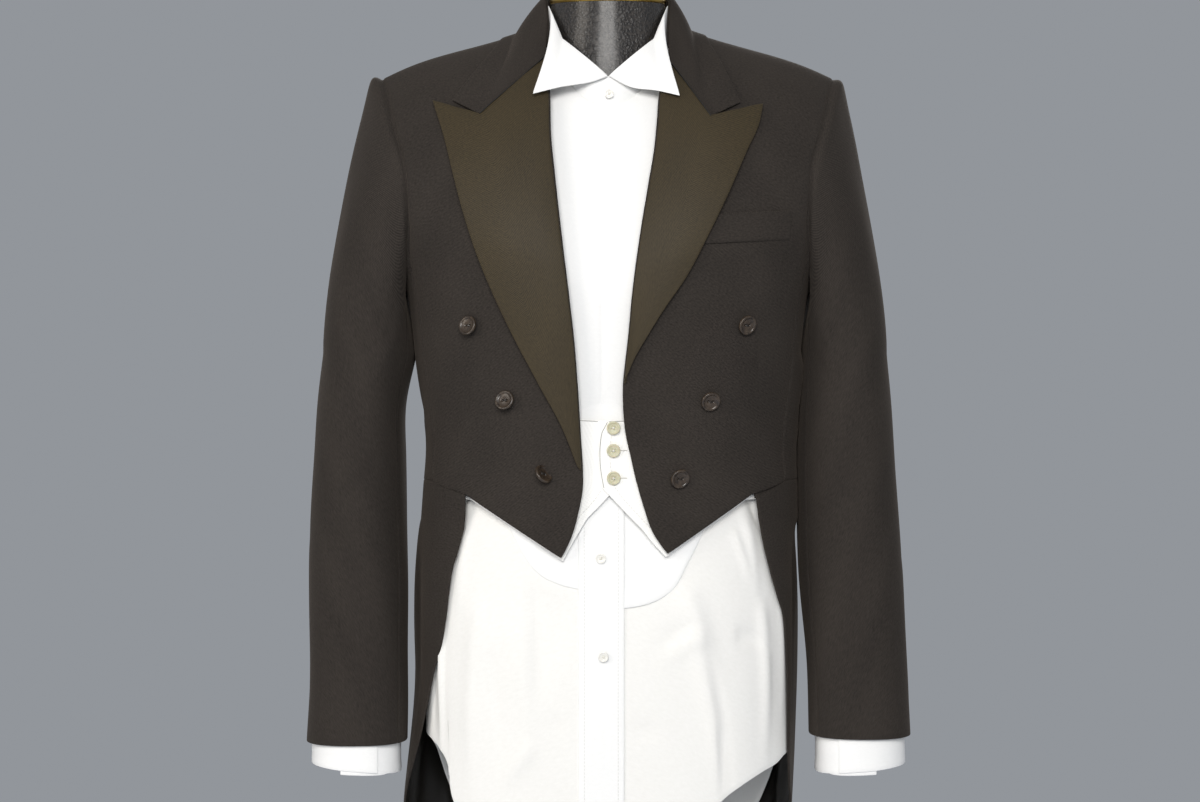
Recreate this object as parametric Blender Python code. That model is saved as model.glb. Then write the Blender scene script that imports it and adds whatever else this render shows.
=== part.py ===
"""Evening tailcoat worn open over a white waistcoat and a wing-collar shirt, on a limbless form.

Metres, +Z up, the front towards -Y and the wearer's left towards +X. The origin is under the
middle of the stand's base. Every piece that a maker cuts is a wall of its own thickness. Its
outline is given as points on the body's surface and its depth comes from that surface.
"""
import math

import bmesh
import bpy
from mathutils import Matrix, Vector

for old in list(bpy.data.objects):
    bpy.data.objects.remove(old, do_unlink=True)

MM = 0.001

# Shoulders: the seam runs from the neck down to the sleeve head.
SHOULDER_X = 0.2195
SHOULDER_Z = 1.399
SHOULDER_SLOPE = 0.33
SHOULDER_Y = 0.012
SQUARENESS = 2.4
CHEST_ROLL = 1.6

# Walls.
WOOL = 2.0 * MM
SATIN = 1.4 * MM
COTTON = 1.0 * MM
CUFF = 1.2 * MM
PIQUE = 1.3 * MM
SEAM = 0.6 * MM
RIDGE_SEAM = 0.09 * MM
LAYER = 3.0 * MM
WELT_OUT = 0.6 * MM + WOOL
BOSOM_OUT = 2.6 * MM
PLACKET_OUT = 5.2 * MM
WAISTCOAT_OUT = -5.0 * MM

# The coat's main heights.
ARMHOLE_Z = 1.190
CUFF_HEM_Z = 0.732
TAIL_HEM_Z = 0.400
SIDE_SEAM = 68.0

# The stand and the form.
BASE_RADIUS = 0.165
BASE_HEIGHT = 0.022
POLE_RADIUS = 0.016
FORM_BOTTOM_Z = 0.840
NECK_RADIUS = 0.0555
NECK_Y = 0.004
NECK_TOP_Z = 1.462
NECK_TILT = 0.10

# height, half width, front depth, back depth: outer face of the coat
COAT_RINGS = (
    (0.40, 0.172, 0.100, 0.106),
    (0.60, 0.176, 0.104, 0.112),
    (0.75, 0.182, 0.108, 0.114),
    (0.92, 0.184, 0.114, 0.114),
    (1.00, 0.179, 0.112, 0.102),
    (1.04, 0.176, 0.112, 0.100),
    (1.12, 0.185, 0.120, 0.108),
    (1.19, 0.194, 0.126, 0.116),
    (1.25, 0.212, 0.126, 0.120),
    (1.31, 0.232, 0.122, 0.118),
    (1.47, 0.234, 0.110, 0.112),
)
# height, half width, front depth, back depth: outer face of the shirt
SHIRT_RINGS = (
    (0.60, 0.165, 0.092, 0.093),
    (0.75, 0.1745, 0.0960, 0.097),
    (0.92, 0.173, 0.1000, 0.097),
    (1.00, 0.163, 0.0985, 0.088),
    (1.04, 0.160, 0.0985, 0.086),
    (1.12, 0.170, 0.1065, 0.094),
    (1.19, 0.181, 0.1125, 0.102),
    (1.25, 0.198, 0.1125, 0.106),
    (1.31, 0.218, 0.1085, 0.104),
    (1.47, 0.220, 0.0965, 0.098),
)
# height, half width, front depth, back depth: the form
FORM_RINGS = (
    (0.83, 0.148, 0.082, 0.076),
    (0.92, 0.160, 0.092, 0.086),
    (1.00, 0.154, 0.091, 0.078),
    (1.04, 0.152, 0.091, 0.076),
    (1.12, 0.160, 0.098, 0.084),
    (1.19, 0.166, 0.103, 0.091),
    (1.25, 0.172, 0.102, 0.094),
    (1.31, 0.182, 0.098, 0.090),
    (1.47, 0.184, 0.085, 0.083),
)


class Surface:
    """A body's surface: rings by height, closed over the shoulders at a sloping ridge."""

    def __init__(self, rings, drop, flare):
        self.rings = rings
        self.drop = drop
        self.flare = flare

    def sizes(self, z):
        rows = self.rings
        if z <= rows[0][0]:
            return rows[0][1:]
        for low, high in zip(rows, rows[1:]):
            if z <= high[0]:
                t = (z - low[0]) / (high[0] - low[0])
                t = t * t * (3.0 - 2.0 * t)
                return tuple(a + (b - a) * t for a, b in zip(low[1:], high[1:]))
        return rows[-1][1:]

    def ridge(self, x, out=0.0):
        return SHOULDER_Z + (SHOULDER_X - abs(x)) * SHOULDER_SLOPE - self.drop + out

    def point(self, phi, z, out=0.0):
        """Angle phi is 0 at the front middle, 90 degrees at the wearer's left side."""
        half, front, back = self.sizes(z)
        side = math.sin(phi)
        x = math.copysign((half + out) * abs(side) ** (2.0 / SQUARENESS), side)
        if side < 0.0 and self.flare:
            x *= 1.0 + self.flare * min(max((0.80 - z) / 0.10, 0.0), 1.0)
        top = self.ridge(x, out)
        z = min(z, top - RIDGE_SEAM)
        facing = math.cos(phi)
        depth = (front if facing > 0.0 else back) + out
        full = -math.copysign(depth * abs(facing) ** (2.0 / SQUARENESS), facing)
        reach = 0.28 - 0.6 * min(abs(x), 0.2) if facing > 0.0 else 0.12
        t = min((top - z) / reach, 1.0)
        rise = (1.0 - (1.0 - t) ** CHEST_ROLL) ** (1.0 / CHEST_ROLL)
        return Vector((x, SHOULDER_Y + (full - SHOULDER_Y) * rise, z))

    def normal(self, phi, z, out=0.0):
        here = self.point(phi, z, out)
        z = here.z
        across = self.point(phi + 0.02, z, out) - self.point(phi - 0.02, z, out)
        up = self.point(phi, z + 0.001, out) - self.point(phi, z - 0.001, out)
        return across.cross(up).normalized()

    def angle(self, x, z, out=0.0):
        """The angle of a place on the front that lies x from the middle."""
        half = self.sizes(z)[0] + out
        share = min(abs(x) / half, 1.0) ** (SQUARENESS / 2.0)
        return math.copysign(math.asin(share), x)


def height_at(surface, x, y, out=0.0):
    """Height of the surface over a plan point near the shoulders and the neck."""
    low = 1.20
    high = surface.ridge(x, out)
    ahead = y < SHOULDER_Y
    for _ in range(30):
        z = (low + high) / 2
        phi = surface.angle(x, z, out)
        here = surface.point(phi if ahead else math.pi - phi, z, out).y
        if (here < y) == ahead:
            low = z
        else:
            high = z
    return low


COAT = Surface(COAT_RINGS, 0.0, 0.11)
SHIRT = Surface(SHIRT_RINGS, 0.0135, 0.0)
FORM = Surface(FORM_RINGS, 0.0156, 0.0)


def front(surface, rows):
    """Places on the front from (distance from the middle, height) rows."""
    return [(surface.angle(x, z), z) for x, z in rows]


def rear(surface, rows):
    """Places on the back from (distance from the middle, height) rows, for x of 0 or more."""
    return [(math.pi - surface.angle(x, z), z) for x, z in rows]


def around(rows):
    """Places from (angle in degrees, height) rows."""
    return [(math.radians(angle), z) for angle, z in rows]


def mirrored(edge):
    return [(-phi, z) for phi, z in edge]


def runs_of(edge):
    """Distance along an edge to each of its places."""
    runs = [0.0]
    for a, b in zip(edge, edge[1:]):
        runs.append(runs[-1] + math.hypot((a[0] - b[0]) * 0.16, a[1] - b[1]))
    return runs


def spaced(edge, count, crowd=1.0):
    """A polyline cut into count places, closer at its start if crowd is over 1."""
    runs = runs_of(edge)
    marks = [runs[-1] * (i / (count - 1)) ** crowd for i in range(count)]
    if len(edge) <= count:
        for run in runs[1:-1]:
            near = min(range(1, count - 1), key=lambda k: abs(marks[k] - run))
            marks[near] = run
    places = []
    for mark in marks:
        i = 0
        while i < len(runs) - 2 and mark > runs[i + 1]:
            i += 1
        t = (mark - runs[i]) / max(runs[i + 1] - runs[i], 1e-9)
        t = min(max(t, 0.0), 1.0)
        places.append(tuple(a + (b - a) * t for a, b in zip(edge[i], edge[i + 1])))
    return places


def between(start, end, share):
    return tuple(a + (b - a) * share for a, b in zip(start, end))


def patch(top, bottom, inner, outer, rows, cols, crowd=1.0):
    """A grid of places filled in from four edges that meet at their ends.

    With rows of 0 each row joins one place of the inner edge to its match on the outer edge.
    """
    top = spaced(top, cols)
    bottom = spaced(bottom, cols)
    if rows:
        marks = [(i / (rows - 1)) ** crowd for i in range(rows)]
        inner = spaced(inner, rows, crowd)
        outer = spaced(outer, rows, crowd)
    else:
        runs = runs_of(outer)
        marks = [run / runs[-1] for run in runs]
        rows = len(outer)
    grid = []
    for i in range(rows):
        v = marks[i]
        line = []
        for j in range(cols):
            u = j / (cols - 1)
            place = []
            for k in (0, 1):
                ruled = (1 - v) * top[j][k] + v * bottom[j][k] + (1 - u) * inner[i][k] + u * outer[i][k]
                corners = (1 - u) * (1 - v) * top[0][k] + u * (1 - v) * top[-1][k]
                corners += (1 - u) * v * bottom[0][k] + u * v * bottom[-1][k]
                place.append(ruled - corners)
            line.append(tuple(place))
        grid.append(line)
    return grid


def srgb(code):
    """A hex colour as linear red, green, blue and alpha."""
    parts = [int(code[i:i + 2], 16) / 255.0 for i in (0, 2, 4)]
    return [p / 12.92 if p <= 0.04045 else ((p + 0.055) / 1.055) ** 2.4 for p in parts] + [1.0]


def material(name, code, roughness, metallic=0.0):
    made = bpy.data.materials.new(name)
    made.use_nodes = True
    shader = made.node_tree.nodes["Principled BSDF"]
    shader.inputs["Base Color"].default_value = srgb(code)
    shader.inputs["Roughness"].default_value = roughness
    shader.inputs["Metallic"].default_value = metallic
    return made


BLACK_WOOL = material("black_wool", "2F2B29", 0.85)
BLACK_SATIN = material("black_satin", "3A372F", 0.35)
WHITE_SHIRTING = material("white_shirting", "F4F5F6", 0.8)
WHITE_PIQUE = material("white_pique", "F2F1EA", 0.85)
DARK_BUTTON = material("dark_button", "2A2522", 0.25)
CREAM_BUTTON = material("cream_button", "CFC8A4", 0.35)
FORM_COVER = material("form_cover", "1B1A19", 0.4)
BRASS = material("brass_trim", "C9A24A", 0.3, 1.0)
STAND_METAL = material("stand_metal", "202020", 0.35, 0.6)


def solid(name, points, faces, made):
    mesh = bpy.data.meshes.new(name)
    shape = bmesh.new()
    verts = [shape.verts.new(p) for p in points]
    for face in faces:
        shape.faces.new([verts[i] for i in face])
    bmesh.ops.recalc_face_normals(shape, faces=shape.faces)
    shape.to_mesh(mesh)
    shape.free()
    mesh.materials.append(made)
    mesh.shade_smooth()
    mesh.set_sharp_from_angle(angle=math.radians(40.0))
    piece = bpy.data.objects.new(name, mesh)
    bpy.context.scene.collection.objects.link(piece)
    return piece


def wall(name, grid, normals, thick, made, loop=False):
    """A closed wall from its outer face and the directions it faces, both faces split alike."""
    rows = len(grid)
    cols = len(grid[0])
    points = [p for line in grid for p in line]
    for line, facing in zip(grid, normals):
        points += [p - n * thick for p, n in zip(line, facing)]
    inside = rows * cols
    last = cols if loop else cols - 1
    faces = []
    for i in range(rows - 1):
        for j in range(last):
            k = (j + 1) % cols
            a, b, c, d = i * cols + j, i * cols + k, (i + 1) * cols + k, (i + 1) * cols + j
            for face in ([a, b, c], [a, c, d]):
                faces.append(face)
                faces.append([inside + v for v in reversed(face)])
    for i, step in ((0, 1), (rows - 1, -1)):
        for j in range(last):
            k = (j + 1) % cols
            a, b = (i * cols + j, i * cols + k)[::step]
            faces.append([b, a, inside + a, inside + b])
    if not loop:
        for j, step in ((0, -1), (cols - 1, 1)):
            for i in range(rows - 1):
                a, b = (i * cols + j, (i + 1) * cols + j)[::step]
                faces.append([b, a, inside + a, inside + b])
    return solid(name, points, faces, made)


def facing(grid):
    """Directions square to a grid of points, pointing to the side that u x v turns to."""
    rows = len(grid)
    cols = len(grid[0])
    out = []
    for i in range(rows):
        line = []
        for j in range(cols):
            across = grid[i][min(j + 1, cols - 1)] - grid[i][max(j - 1, 0)]
            down = grid[min(i + 1, rows - 1)][j] - grid[max(i - 1, 0)][j]
            line.append(down.cross(across).normalized())
        out.append(line)
    return out


def panel(name, surface, places, out, thick, made):
    """A cut piece that lies on a body's surface, out beyond it by the layer's own lift."""
    grid = [[surface.point(phi, z, out) for phi, z in line] for line in places]
    normals = [[surface.normal(phi, z, out) for phi, z in line] for line in places]
    return wall(name, grid, normals, thick, made)


def both_sides(name, surface, places, out, thick, made):
    """The left piece and its mirror image on the right."""
    panel(name + "_left", surface, places, out, thick, made)
    panel(name + "_right", surface, [mirrored(line) for line in places], out, thick, made)


# ---------------------------------------------------------------- armhole

# distance from the middle, height: front of the armhole, from the shoulder down
ARMHOLE_FRONT = ((0.2195, 1.399), (0.2155, 1.390), (0.2040, 1.348), (0.1915, 1.306), (0.1880, 1.275),
                 (0.1868, 1.245), (0.1880, 1.215))
# distance from the middle, height: back of the armhole, from the shoulder down
ARMHOLE_BACK = ((0.2195, 1.399), (0.2175, 1.395), (0.2140, 1.386), (0.2060, 1.365), (0.1930, 1.325),
                (0.1870, 1.285), (0.1850, 1.250), (0.1880, 1.215))


def armhole(count):
    """Places round the left armhole: the shoulder, the front, the underarm and the back."""
    ahead = front(COAT, ARMHOLE_FRONT)
    behind = rear(COAT, ARMHOLE_BACK)
    low = [(math.radians(90.0), ARMHOLE_Z)]
    half = count // 2
    down = spaced(ahead + low, half + 1)
    up = spaced(behind + low, count - half + 1)
    return down + up[-2:0:-1]


# ---------------------------------------------------------------- coat body

# distance from the middle, height: right roll line, then the front edge down to its point
ROLL_RIGHT = ((0.0592, 1.413), (0.0558, 1.375), (0.0543, 1.333), (0.0503, 1.294),
              (0.0435, 1.235), (0.0371, 1.182), (0.0325, 1.142), (0.0289, 1.096),
              (0.0262, 1.051), (0.0244, 1.022))
EDGE_RIGHT = ((0.0244, 1.006), (0.0280, 0.985), (0.0345, 0.961), (0.0437, 0.941))
# the same on the left, whose lapel ends higher and whose edge stands further off the middle
ROLL_LEFT = ((0.0560, 1.410), (0.0486, 1.374), (0.0463, 1.347), (0.0432, 1.318),
             (0.0383, 1.289), (0.0298, 1.238), (0.0224, 1.182), (0.0188, 1.143),
             (0.0160, 1.119), (0.0142, 1.101))
EDGE_LEFT = ((0.0142, 1.083), (0.0170, 1.053), (0.0216, 1.033), (0.0244, 1.020),
             (0.0327, 0.990), (0.0419, 0.964), (0.0548, 0.945))
NECK_X = 0.080
WAIST_FRONT = (0.1345, 0.999)
WAIST_SIDE_Z = 1.010
BACK_SEAM = ((0.1870, 1.275), (0.1620, 1.215), (0.1250, 1.150), (0.0900, 1.085),
             (0.0680, 1.040), (0.0570, 1.000))
TAIL_SEAM = ((0.0570, 0.960), (0.0600, 0.900), (0.0630, 0.800), (0.0660, 0.700), (0.0720, 0.520),
             (0.0750, 0.400))


def forepart(name, roll, edge, side, sign):
    seam = side / 0.16
    neck = front(COAT, [(NECK_X, COAT.ridge(NECK_X))])
    tip = front(COAT, [(SHOULDER_X, SHOULDER_Z)])
    inner = neck + front(COAT, roll + edge)
    side_seam = around([(SIDE_SEAM, 1.19), (SIDE_SEAM, 1.10), (SIDE_SEAM, WAIST_SIDE_Z)])
    outer = front(COAT, ARMHOLE_FRONT) + side_seam
    outer = [(phi - seam, z) for phi, z in outer]
    top = neck + [(tip[0][0] - seam, tip[0][1])]
    bottom = [inner[-1]] + front(COAT, [WAIST_FRONT]) + [outer[-1]]
    places = patch(top, bottom, inner, outer, 15, 9, 1.4)
    if sign < 0:
        places = [mirrored(line) for line in places]
    panel(name, COAT, places, 0.0, WOOL, BLACK_WOOL)


def coat_body():
    seam = SEAM / 0.16
    forepart("forepart_left", ROLL_LEFT, EDGE_LEFT, SEAM, 1)
    forepart("forepart_right", ROLL_RIGHT, EDGE_RIGHT, SEAM, -1)

    under = around([(SIDE_SEAM, 1.213), (90.0, ARMHOLE_Z)])
    under += rear(COAT, [(0.188, 1.215), (0.185, 1.250), BACK_SEAM[0]])
    under[-1] = (under[-1][0] - seam * 1.6, under[-1][1])
    down = around([(SIDE_SEAM, z) for z in (1.213, 1.170, 1.130, 1.080, 1.040, WAIST_SIDE_Z)])
    seamed = [(phi - seam * 1.6, z) for phi, z in rear(COAT, BACK_SEAM)]
    low = [down[-1], seamed[-1]]
    both_sides("side_body", COAT, patch(under, low, down, seamed, 0, 7), 0.0, WOOL, BLACK_WOOL)

    neck = rear(COAT, [(NECK_X, COAT.ridge(NECK_X))])
    nape = rear(COAT, [(0.066, 1.438), (0.040, 1.431), (0.020, 1.4285)])
    heights = (1.428, 1.370, 1.300, 1.230, 1.160, 1.090, 1.040, 1.000, 0.960, 0.900, 0.800, 0.700,
               0.520, TAIL_HEM_Z)
    middle = [(math.pi - seam, z) for z in heights]
    tip = rear(COAT, [(SHOULDER_X, SHOULDER_Z)])
    behind = rear(COAT, ARMHOLE_BACK[:-2] + BACK_SEAM + TAIL_SEAM)
    inner = neck + nape + middle
    back = patch(neck + tip, [inner[-1], behind[-1]], inner, behind, 0, 7)
    both_sides("back", COAT, back, 0.0, WOOL, BLACK_WOOL)


# distance from the middle, height: front edge of the tails, down to where it turns to the back
TAIL_EDGE = {
    1: front(COAT, ((0.1390, 0.995), (0.1400, 0.986), (0.1430, 0.967), (0.1515, 0.930),
                    (0.1605, 0.900), (0.1680, 0.872))) + around(((66.0, 0.83), (70.0, 0.76))),
    -1: front(COAT, ((0.1350, 0.998), (0.1346, 0.980), (0.1405, 0.950), (0.1480, 0.925),
                     (0.1540, 0.880), (0.1655, 0.830))) + around(((66.0, 0.80), (70.0, 0.765))),
}
TAIL_SWEEP = around(((84.0, 0.70), (104.0, 0.60), (120.0, 0.50), (128.0, 0.43), (132.0, TAIL_HEM_Z)))


def skirts():
    seam = SEAM / 0.16
    for side, sign in (("left", 1), ("right", -1)):
        edge = TAIL_EDGE[sign] + TAIL_SWEEP
        edge[0] = (edge[0][0], edge[0][1] - 0.0012)
        back_edge = [(phi - seam * 1.6, z) for phi, z in rear(COAT, TAIL_SEAM)]
        back_edge[0] = (back_edge[0][0], BACK_SEAM[-1][1] - 0.0012)
        waist = [edge[0], (math.radians(SIDE_SEAM), WAIST_SIDE_Z - 0.0012), back_edge[0]]
        hem = [edge[-1], back_edge[-1]]
        places = patch(waist, hem, edge, back_edge, 11, 8)
        if sign < 0:
            places = [mirrored(line) for line in places]
        panel("tail_skirt_" + side, COAT, places, 0.0, WOOL, BLACK_WOOL)


# ---------------------------------------------------------------- lapels and collar

NOTCH = {1: (0.0933, 1.3516), -1: (0.1177, 1.3543)}
# distance from the middle, height: outer edge of the lapel from its peak down
LAPEL_EDGE = {
    1: ((0.1434, 1.3654), (0.1386, 1.3448), (0.1263, 1.3176), (0.1076, 1.2749), (0.0876, 1.2335),
        (0.0682, 1.1965), (0.0471, 1.1626), (0.0334, 1.1380), (0.0215, 1.1206), (0.0172, 1.1030)),
    -1: ((0.1634, 1.3695), (0.1529, 1.3273), (0.1405, 1.2899), (0.1346, 1.2755), (0.1202, 1.2230),
         (0.1016, 1.1822), (0.0841, 1.1418), (0.0611, 1.0977), (0.0418, 1.0609), (0.0275, 1.0240)),
}


def lapels():
    for side, sign, roll in (("left", 1, ROLL_LEFT), ("right", -1, ROLL_RIGHT)):
        fold = front(COAT, roll)
        edge = front(COAT, LAPEL_EDGE[sign])
        top = [fold[0]] + front(COAT, [NOTCH[sign]]) + [edge[0]]
        places = patch(top, [fold[-1], edge[-1]], fold, edge, 13, 5)
        if sign < 0:
            places = [mirrored(line) for line in places]
        panel("lapel_" + side, COAT, places, LAYER + SATIN, SATIN, BLACK_SATIN)


# turn from the front in degrees, radius from the neck's axis, height: fold line of the collar
COLLAR_FOLD = ((180.0, 0.0735, 1.4860), (150.0, 0.0700, 1.4855), (120.0, 0.0660, 1.4835),
               (90.0, 0.0636, 1.4780), (70.0, 0.0650, 1.4520), (54.0, 0.0735, 1.4138))
# x, y: outer edge of the leaf, from the back round to the front
LEAF_EDGE = ((0.0, 0.0835), (0.0450, 0.0700), (0.0820, 0.0400), (0.1000, 0.0120),
             (0.1100, -0.0150), (0.1240, -0.0360))
COLLAR_TIP = {1: (0.1225, 1.3670), -1: (0.1450, 1.3700)}
COLLAR_ROWS = 10


def sampled(rows, share):
    """A row of a table at a share of its length."""
    at = share * (len(rows) - 1)
    i = min(int(at), len(rows) - 2)
    return between(rows[i], rows[i + 1], at - i)


def fold_point(share, inward):
    turn, radius, z = sampled(COLLAR_FOLD, share)
    turn = math.radians(turn)
    radius -= inward
    return Vector((radius * math.sin(turn), NECK_Y - radius * math.cos(turn), z))


def on_coat(x, z, out):
    return COAT.point(COAT.angle(x, z, out), z, out)


def clear_of_coat(point, out):
    """Lifts a point that lies under the coat's shoulder to just above it."""
    if point.z > 1.34:
        point.z = max(point.z, height_at(COAT, point.x, point.y, out))
    return point


def leaf_half(sign):
    out = LAYER + WOOL
    roll = ROLL_LEFT if sign > 0 else ROLL_RIGHT
    rows = []
    for i in range(COLLAR_ROWS):
        share = i / COLLAR_ROWS
        fold = fold_point(share, 0.0)
        x, y = sampled(LEAF_EDGE + (LEAF_EDGE[-1],), share)
        edge = Vector((x, y, height_at(COAT, x, y, out)))
        bulge = Vector((edge.x - fold.x * 0.3, edge.y - NECK_Y, 0.03)).normalized() * 0.004
        line = [fold.lerp(edge, k / 4) + bulge * math.sin(math.pi * k / 4) for k in range(5)]
        rows.append([clear_of_coat(p, out) for p in line])
    gorge = spaced([roll[0], NOTCH[sign]], 4) + [COLLAR_TIP[sign]]
    rows.append([on_coat(x, z + 0.0008, out) for x, z in gorge])
    return rows


def collar_leaf():
    left = leaf_half(1)
    right = flipped(leaf_half(-1))
    grid = right[::-1][:-1] + left
    normals = [[-n for n in line] for line in facing(grid)]
    wall("collar_leaf", grid, normals, WOOL, BLACK_WOOL)


# x, y: neck seam of the coat, from the back round to the front
NECK_SEAM = ((0.0, 0.0755), (0.0400, 0.0590), (0.0670, 0.0340), (0.0785, 0.0110),
             (0.0760, -0.0080), (0.0665, -0.0260))


def collar_stand():
    half = []
    for i in range(COLLAR_ROWS + 1):
        share = min(i / COLLAR_ROWS, 0.94)
        x, y = sampled(NECK_SEAM, share)
        seam = Vector((x, y, height_at(COAT, x, y) + 0.0003))
        fold = fold_point(share, 2.6 * MM) - Vector((0.0, 0.0, 0.0030))
        half.append([fold, seam])
    grid = flipped(half)[::-1][:-1] + half
    normals = [[-n for n in line] for line in facing(grid)]
    wall("collar_stand", grid, normals, SATIN, BLACK_WOOL)


def welt():
    corners = front(COAT, ((0.1075, 1.2570), (0.1690, 1.2617), (0.0970, 1.2298), (0.1620, 1.2354)))
    places = patch(corners[:2], corners[2:], [corners[0], corners[2]], [corners[1], corners[3]], 3, 6)
    panel("breast_welt", COAT, places, WELT_OUT, WOOL, BLACK_WOOL)


# ---------------------------------------------------------------- sleeves

# height, inner face, outer face, middle depth, half depth: rings of the coat's sleeve
SLEEVE_RINGS = (
    (1.130, 0.1905, 0.2715, 0.000, 0.066),
    (1.030, 0.1930, 0.2790, -0.002, 0.063),
    (0.930, 0.1925, 0.2860, -0.008, 0.057),
    (0.830, 0.1930, 0.2880, -0.020, 0.050),
    (0.756, 0.1930, 0.2890, -0.030, 0.045),
)


def ring_at(z):
    rows = sorted(SLEEVE_RINGS)
    if z <= rows[0][0]:
        return rows[0][1:]
    for low, high in zip(rows, rows[1:]):
        if z <= high[0]:
            return between(low[1:], high[1:], (z - low[0]) / (high[0] - low[0]))
    return rows[-1][1:]


def sleeve_ring(z, turn, shrink):
    """A place round the sleeve: turn 0 outside, 90 degrees in front, 180 against the body."""
    inner, outer, middle, depth = ring_at(z)
    x = (inner + outer) / 2
    c = math.cos(turn)
    s = math.sin(turn)
    wide = (outer - inner) / 2 - shrink
    deep = depth - shrink
    return Vector((x + math.copysign(wide * abs(c) ** 0.85, c),
                   middle - math.copysign(deep * abs(s) ** 0.85, s), z))


TURNS = 18
CAP_ROWS = 5
HIDDEN_TURNS = 12
SHIRT_TURNS = 24
HIDDEN_SHRINK = 7.4 * MM
CUFF_SHRINK = 5.2 * MM


def sleeve_column(turn, start, shrink, heights, leave):
    """Points from the armhole over the sleeve head and down the sleeve."""
    top = sleeve_ring(SLEEVE_RINGS[0][0], turn, shrink)
    land = Vector((0.0, 0.0, -min(0.25, (start - top).length * 0.9)))
    points = []
    for k in range(CAP_ROWS):
        t = k / CAP_ROWS
        a = 2 * t ** 3 - 3 * t ** 2 + 1
        b = t ** 3 - 2 * t ** 2 + t
        points.append(start * a + leave * b + top * (1 - a) + land * (t ** 3 - t ** 2))
    points += [sleeve_ring(z, turn, shrink) for z in heights]
    return points


def sleeve_grid(starts, shrink, heights, low_leave, high_leave):
    """low_leave and high_leave are the ways the cloth leaves the underarm and the shoulder."""
    columns = []
    for j, start in enumerate(starts):
        turn = 2.0 * math.pi * j / len(starts)
        over = (1.0 + math.cos(turn)) / 2.0
        leave = Vector(low_leave).lerp(Vector(high_leave), over)
        columns.append(sleeve_column(turn, start, shrink, heights, leave))
    return [list(row) for row in zip(*columns)]


def tube_normals(grid):
    rows = len(grid)
    cols = len(grid[0])
    out = []
    for i in range(rows):
        line = []
        for j in range(cols):
            across = grid[i][(j + 1) % cols] - grid[i][j - 1]
            down = grid[min(i + 1, rows - 1)][j] - grid[max(i - 1, 0)][j]
            line.append(across.cross(down).normalized())
        out.append(line)
    return out


def flipped(grid):
    return [[Vector((-p.x, p.y, p.z)) for p in line] for line in grid]


def coat_sleeves():
    starts = []
    for phi, z in armhole(TURNS):
        p = COAT.point(phi, z)
        n = COAT.normal(phi, z)
        out = Vector((1.0, 0.0, -0.25)).normalized()
        hold = (out - n * out.dot(n)).normalized()
        starts.append(p + hold * 0.0016 + Vector((0.0006, 0.0, 0.0)))
    heights = [ring[0] for ring in SLEEVE_RINGS]
    grid = sleeve_grid(starts, 0.0, heights, (0.020, 0.0, -0.035), (0.085, 0.0, -0.075))
    normals = tube_normals(grid)
    front_seam = 6
    elbow_seam = 12
    top = [j % TURNS for j in range(elbow_seam, front_seam + TURNS + 1)]
    under = list(range(front_seam, elbow_seam + 1))
    for name, columns in (("top_sleeve", top), ("under_sleeve", under)):
        lines = [[row[j].copy() for j in columns] for row in grid]
        for row in lines:
            for edge, near in ((0, 1), (-1, -2)):
                row[edge] += (row[near] - row[edge]).normalized() * SEAM * 0.6
        facings = [[row[j] for j in columns] for row in normals]
        wall(name + "_left", lines, facings, WOOL, BLACK_WOOL)
        turned = [[Vector((-n.x, n.y, n.z)) for n in line] for line in facings]
        wall(name + "_right", flipped(lines), turned, WOOL, BLACK_WOOL)


def shirt_ring(count):
    """The shirt's own armhole, inside the coat's and higher under the arm."""
    ring = armhole(count)
    middle_phi = sum(phi for phi, z in ring) / len(ring)
    middle_z = 1.285
    places = []
    for phi, z in ring:
        tall = 0.78 if z < middle_z else 0.90
        places.append((middle_phi + (phi - middle_phi) * 0.82, middle_z + (z - middle_z) * tall))
    head = SHIRT.ridge(SHIRT.point(*places[0]).x) - RIDGE_SEAM
    places[0] = (places[0][0], head)
    return places


def shirt_sleeves():
    starts = [SHIRT.point(phi, z) + Vector((0.0015, 0.0, 0.0)) for phi, z in shirt_ring(HIDDEN_TURNS)]
    heights = [ring[0] for ring in SLEEVE_RINGS[:-1]] + [0.790]
    grid = sleeve_grid(starts, HIDDEN_SHRINK, heights, (0.085, 0.0, 0.004), (0.070, 0.0, -0.050))
    normals = tube_normals(grid)
    wall("shirt_sleeve_left", grid, normals, COTTON, WHITE_SHIRTING, loop=True)
    turned_in = [[Vector((-n.x, n.y, n.z)) for n in line] for line in normals]
    wall("shirt_sleeve_right", flipped(grid), turned_in, COTTON, WHITE_SHIRTING, loop=True)
    cuff = [[sleeve_ring(z, 2 * math.pi * j / TURNS, CUFF_SHRINK) for j in range(TURNS)]
            for z in (0.798, 0.757, CUFF_HEM_Z)]
    normals = tube_normals(cuff)
    wall("cuff_left", cuff, normals, CUFF, WHITE_SHIRTING, loop=True)
    turned_in = [[Vector((-n.x, n.y, n.z)) for n in line] for line in normals]
    wall("cuff_right", flipped(cuff), turned_in, CUFF, WHITE_SHIRTING, loop=True)


# ---------------------------------------------------------------- shirt body

PLACKET_X = -0.007
PLACKET_HALF = 0.0195
PLACKET_TOP_Z = 1.352
PLACKET_HEM_Z = 0.662
BOSOM_DROP = 0.008
BAND_RADIUS = 0.0590
BAND_DEPTH = 0.0655


def band_place(turn, inward=0.0):
    """Plan point round the neck, turn 0 in front."""
    return ((BAND_RADIUS - inward) * math.sin(turn), NECK_Y - (BAND_DEPTH - inward) * math.cos(turn))


def neck_edge(degrees):
    """The shirt's neck edge under the band, as places."""
    places = []
    for angle in degrees:
        x, y = band_place(math.radians(angle))
        z = height_at(SHIRT, x, y)
        phi = SHIRT.angle(x, z)
        places.append((phi if y < SHOULDER_Y else math.pi - phi, z))
    return places


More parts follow.
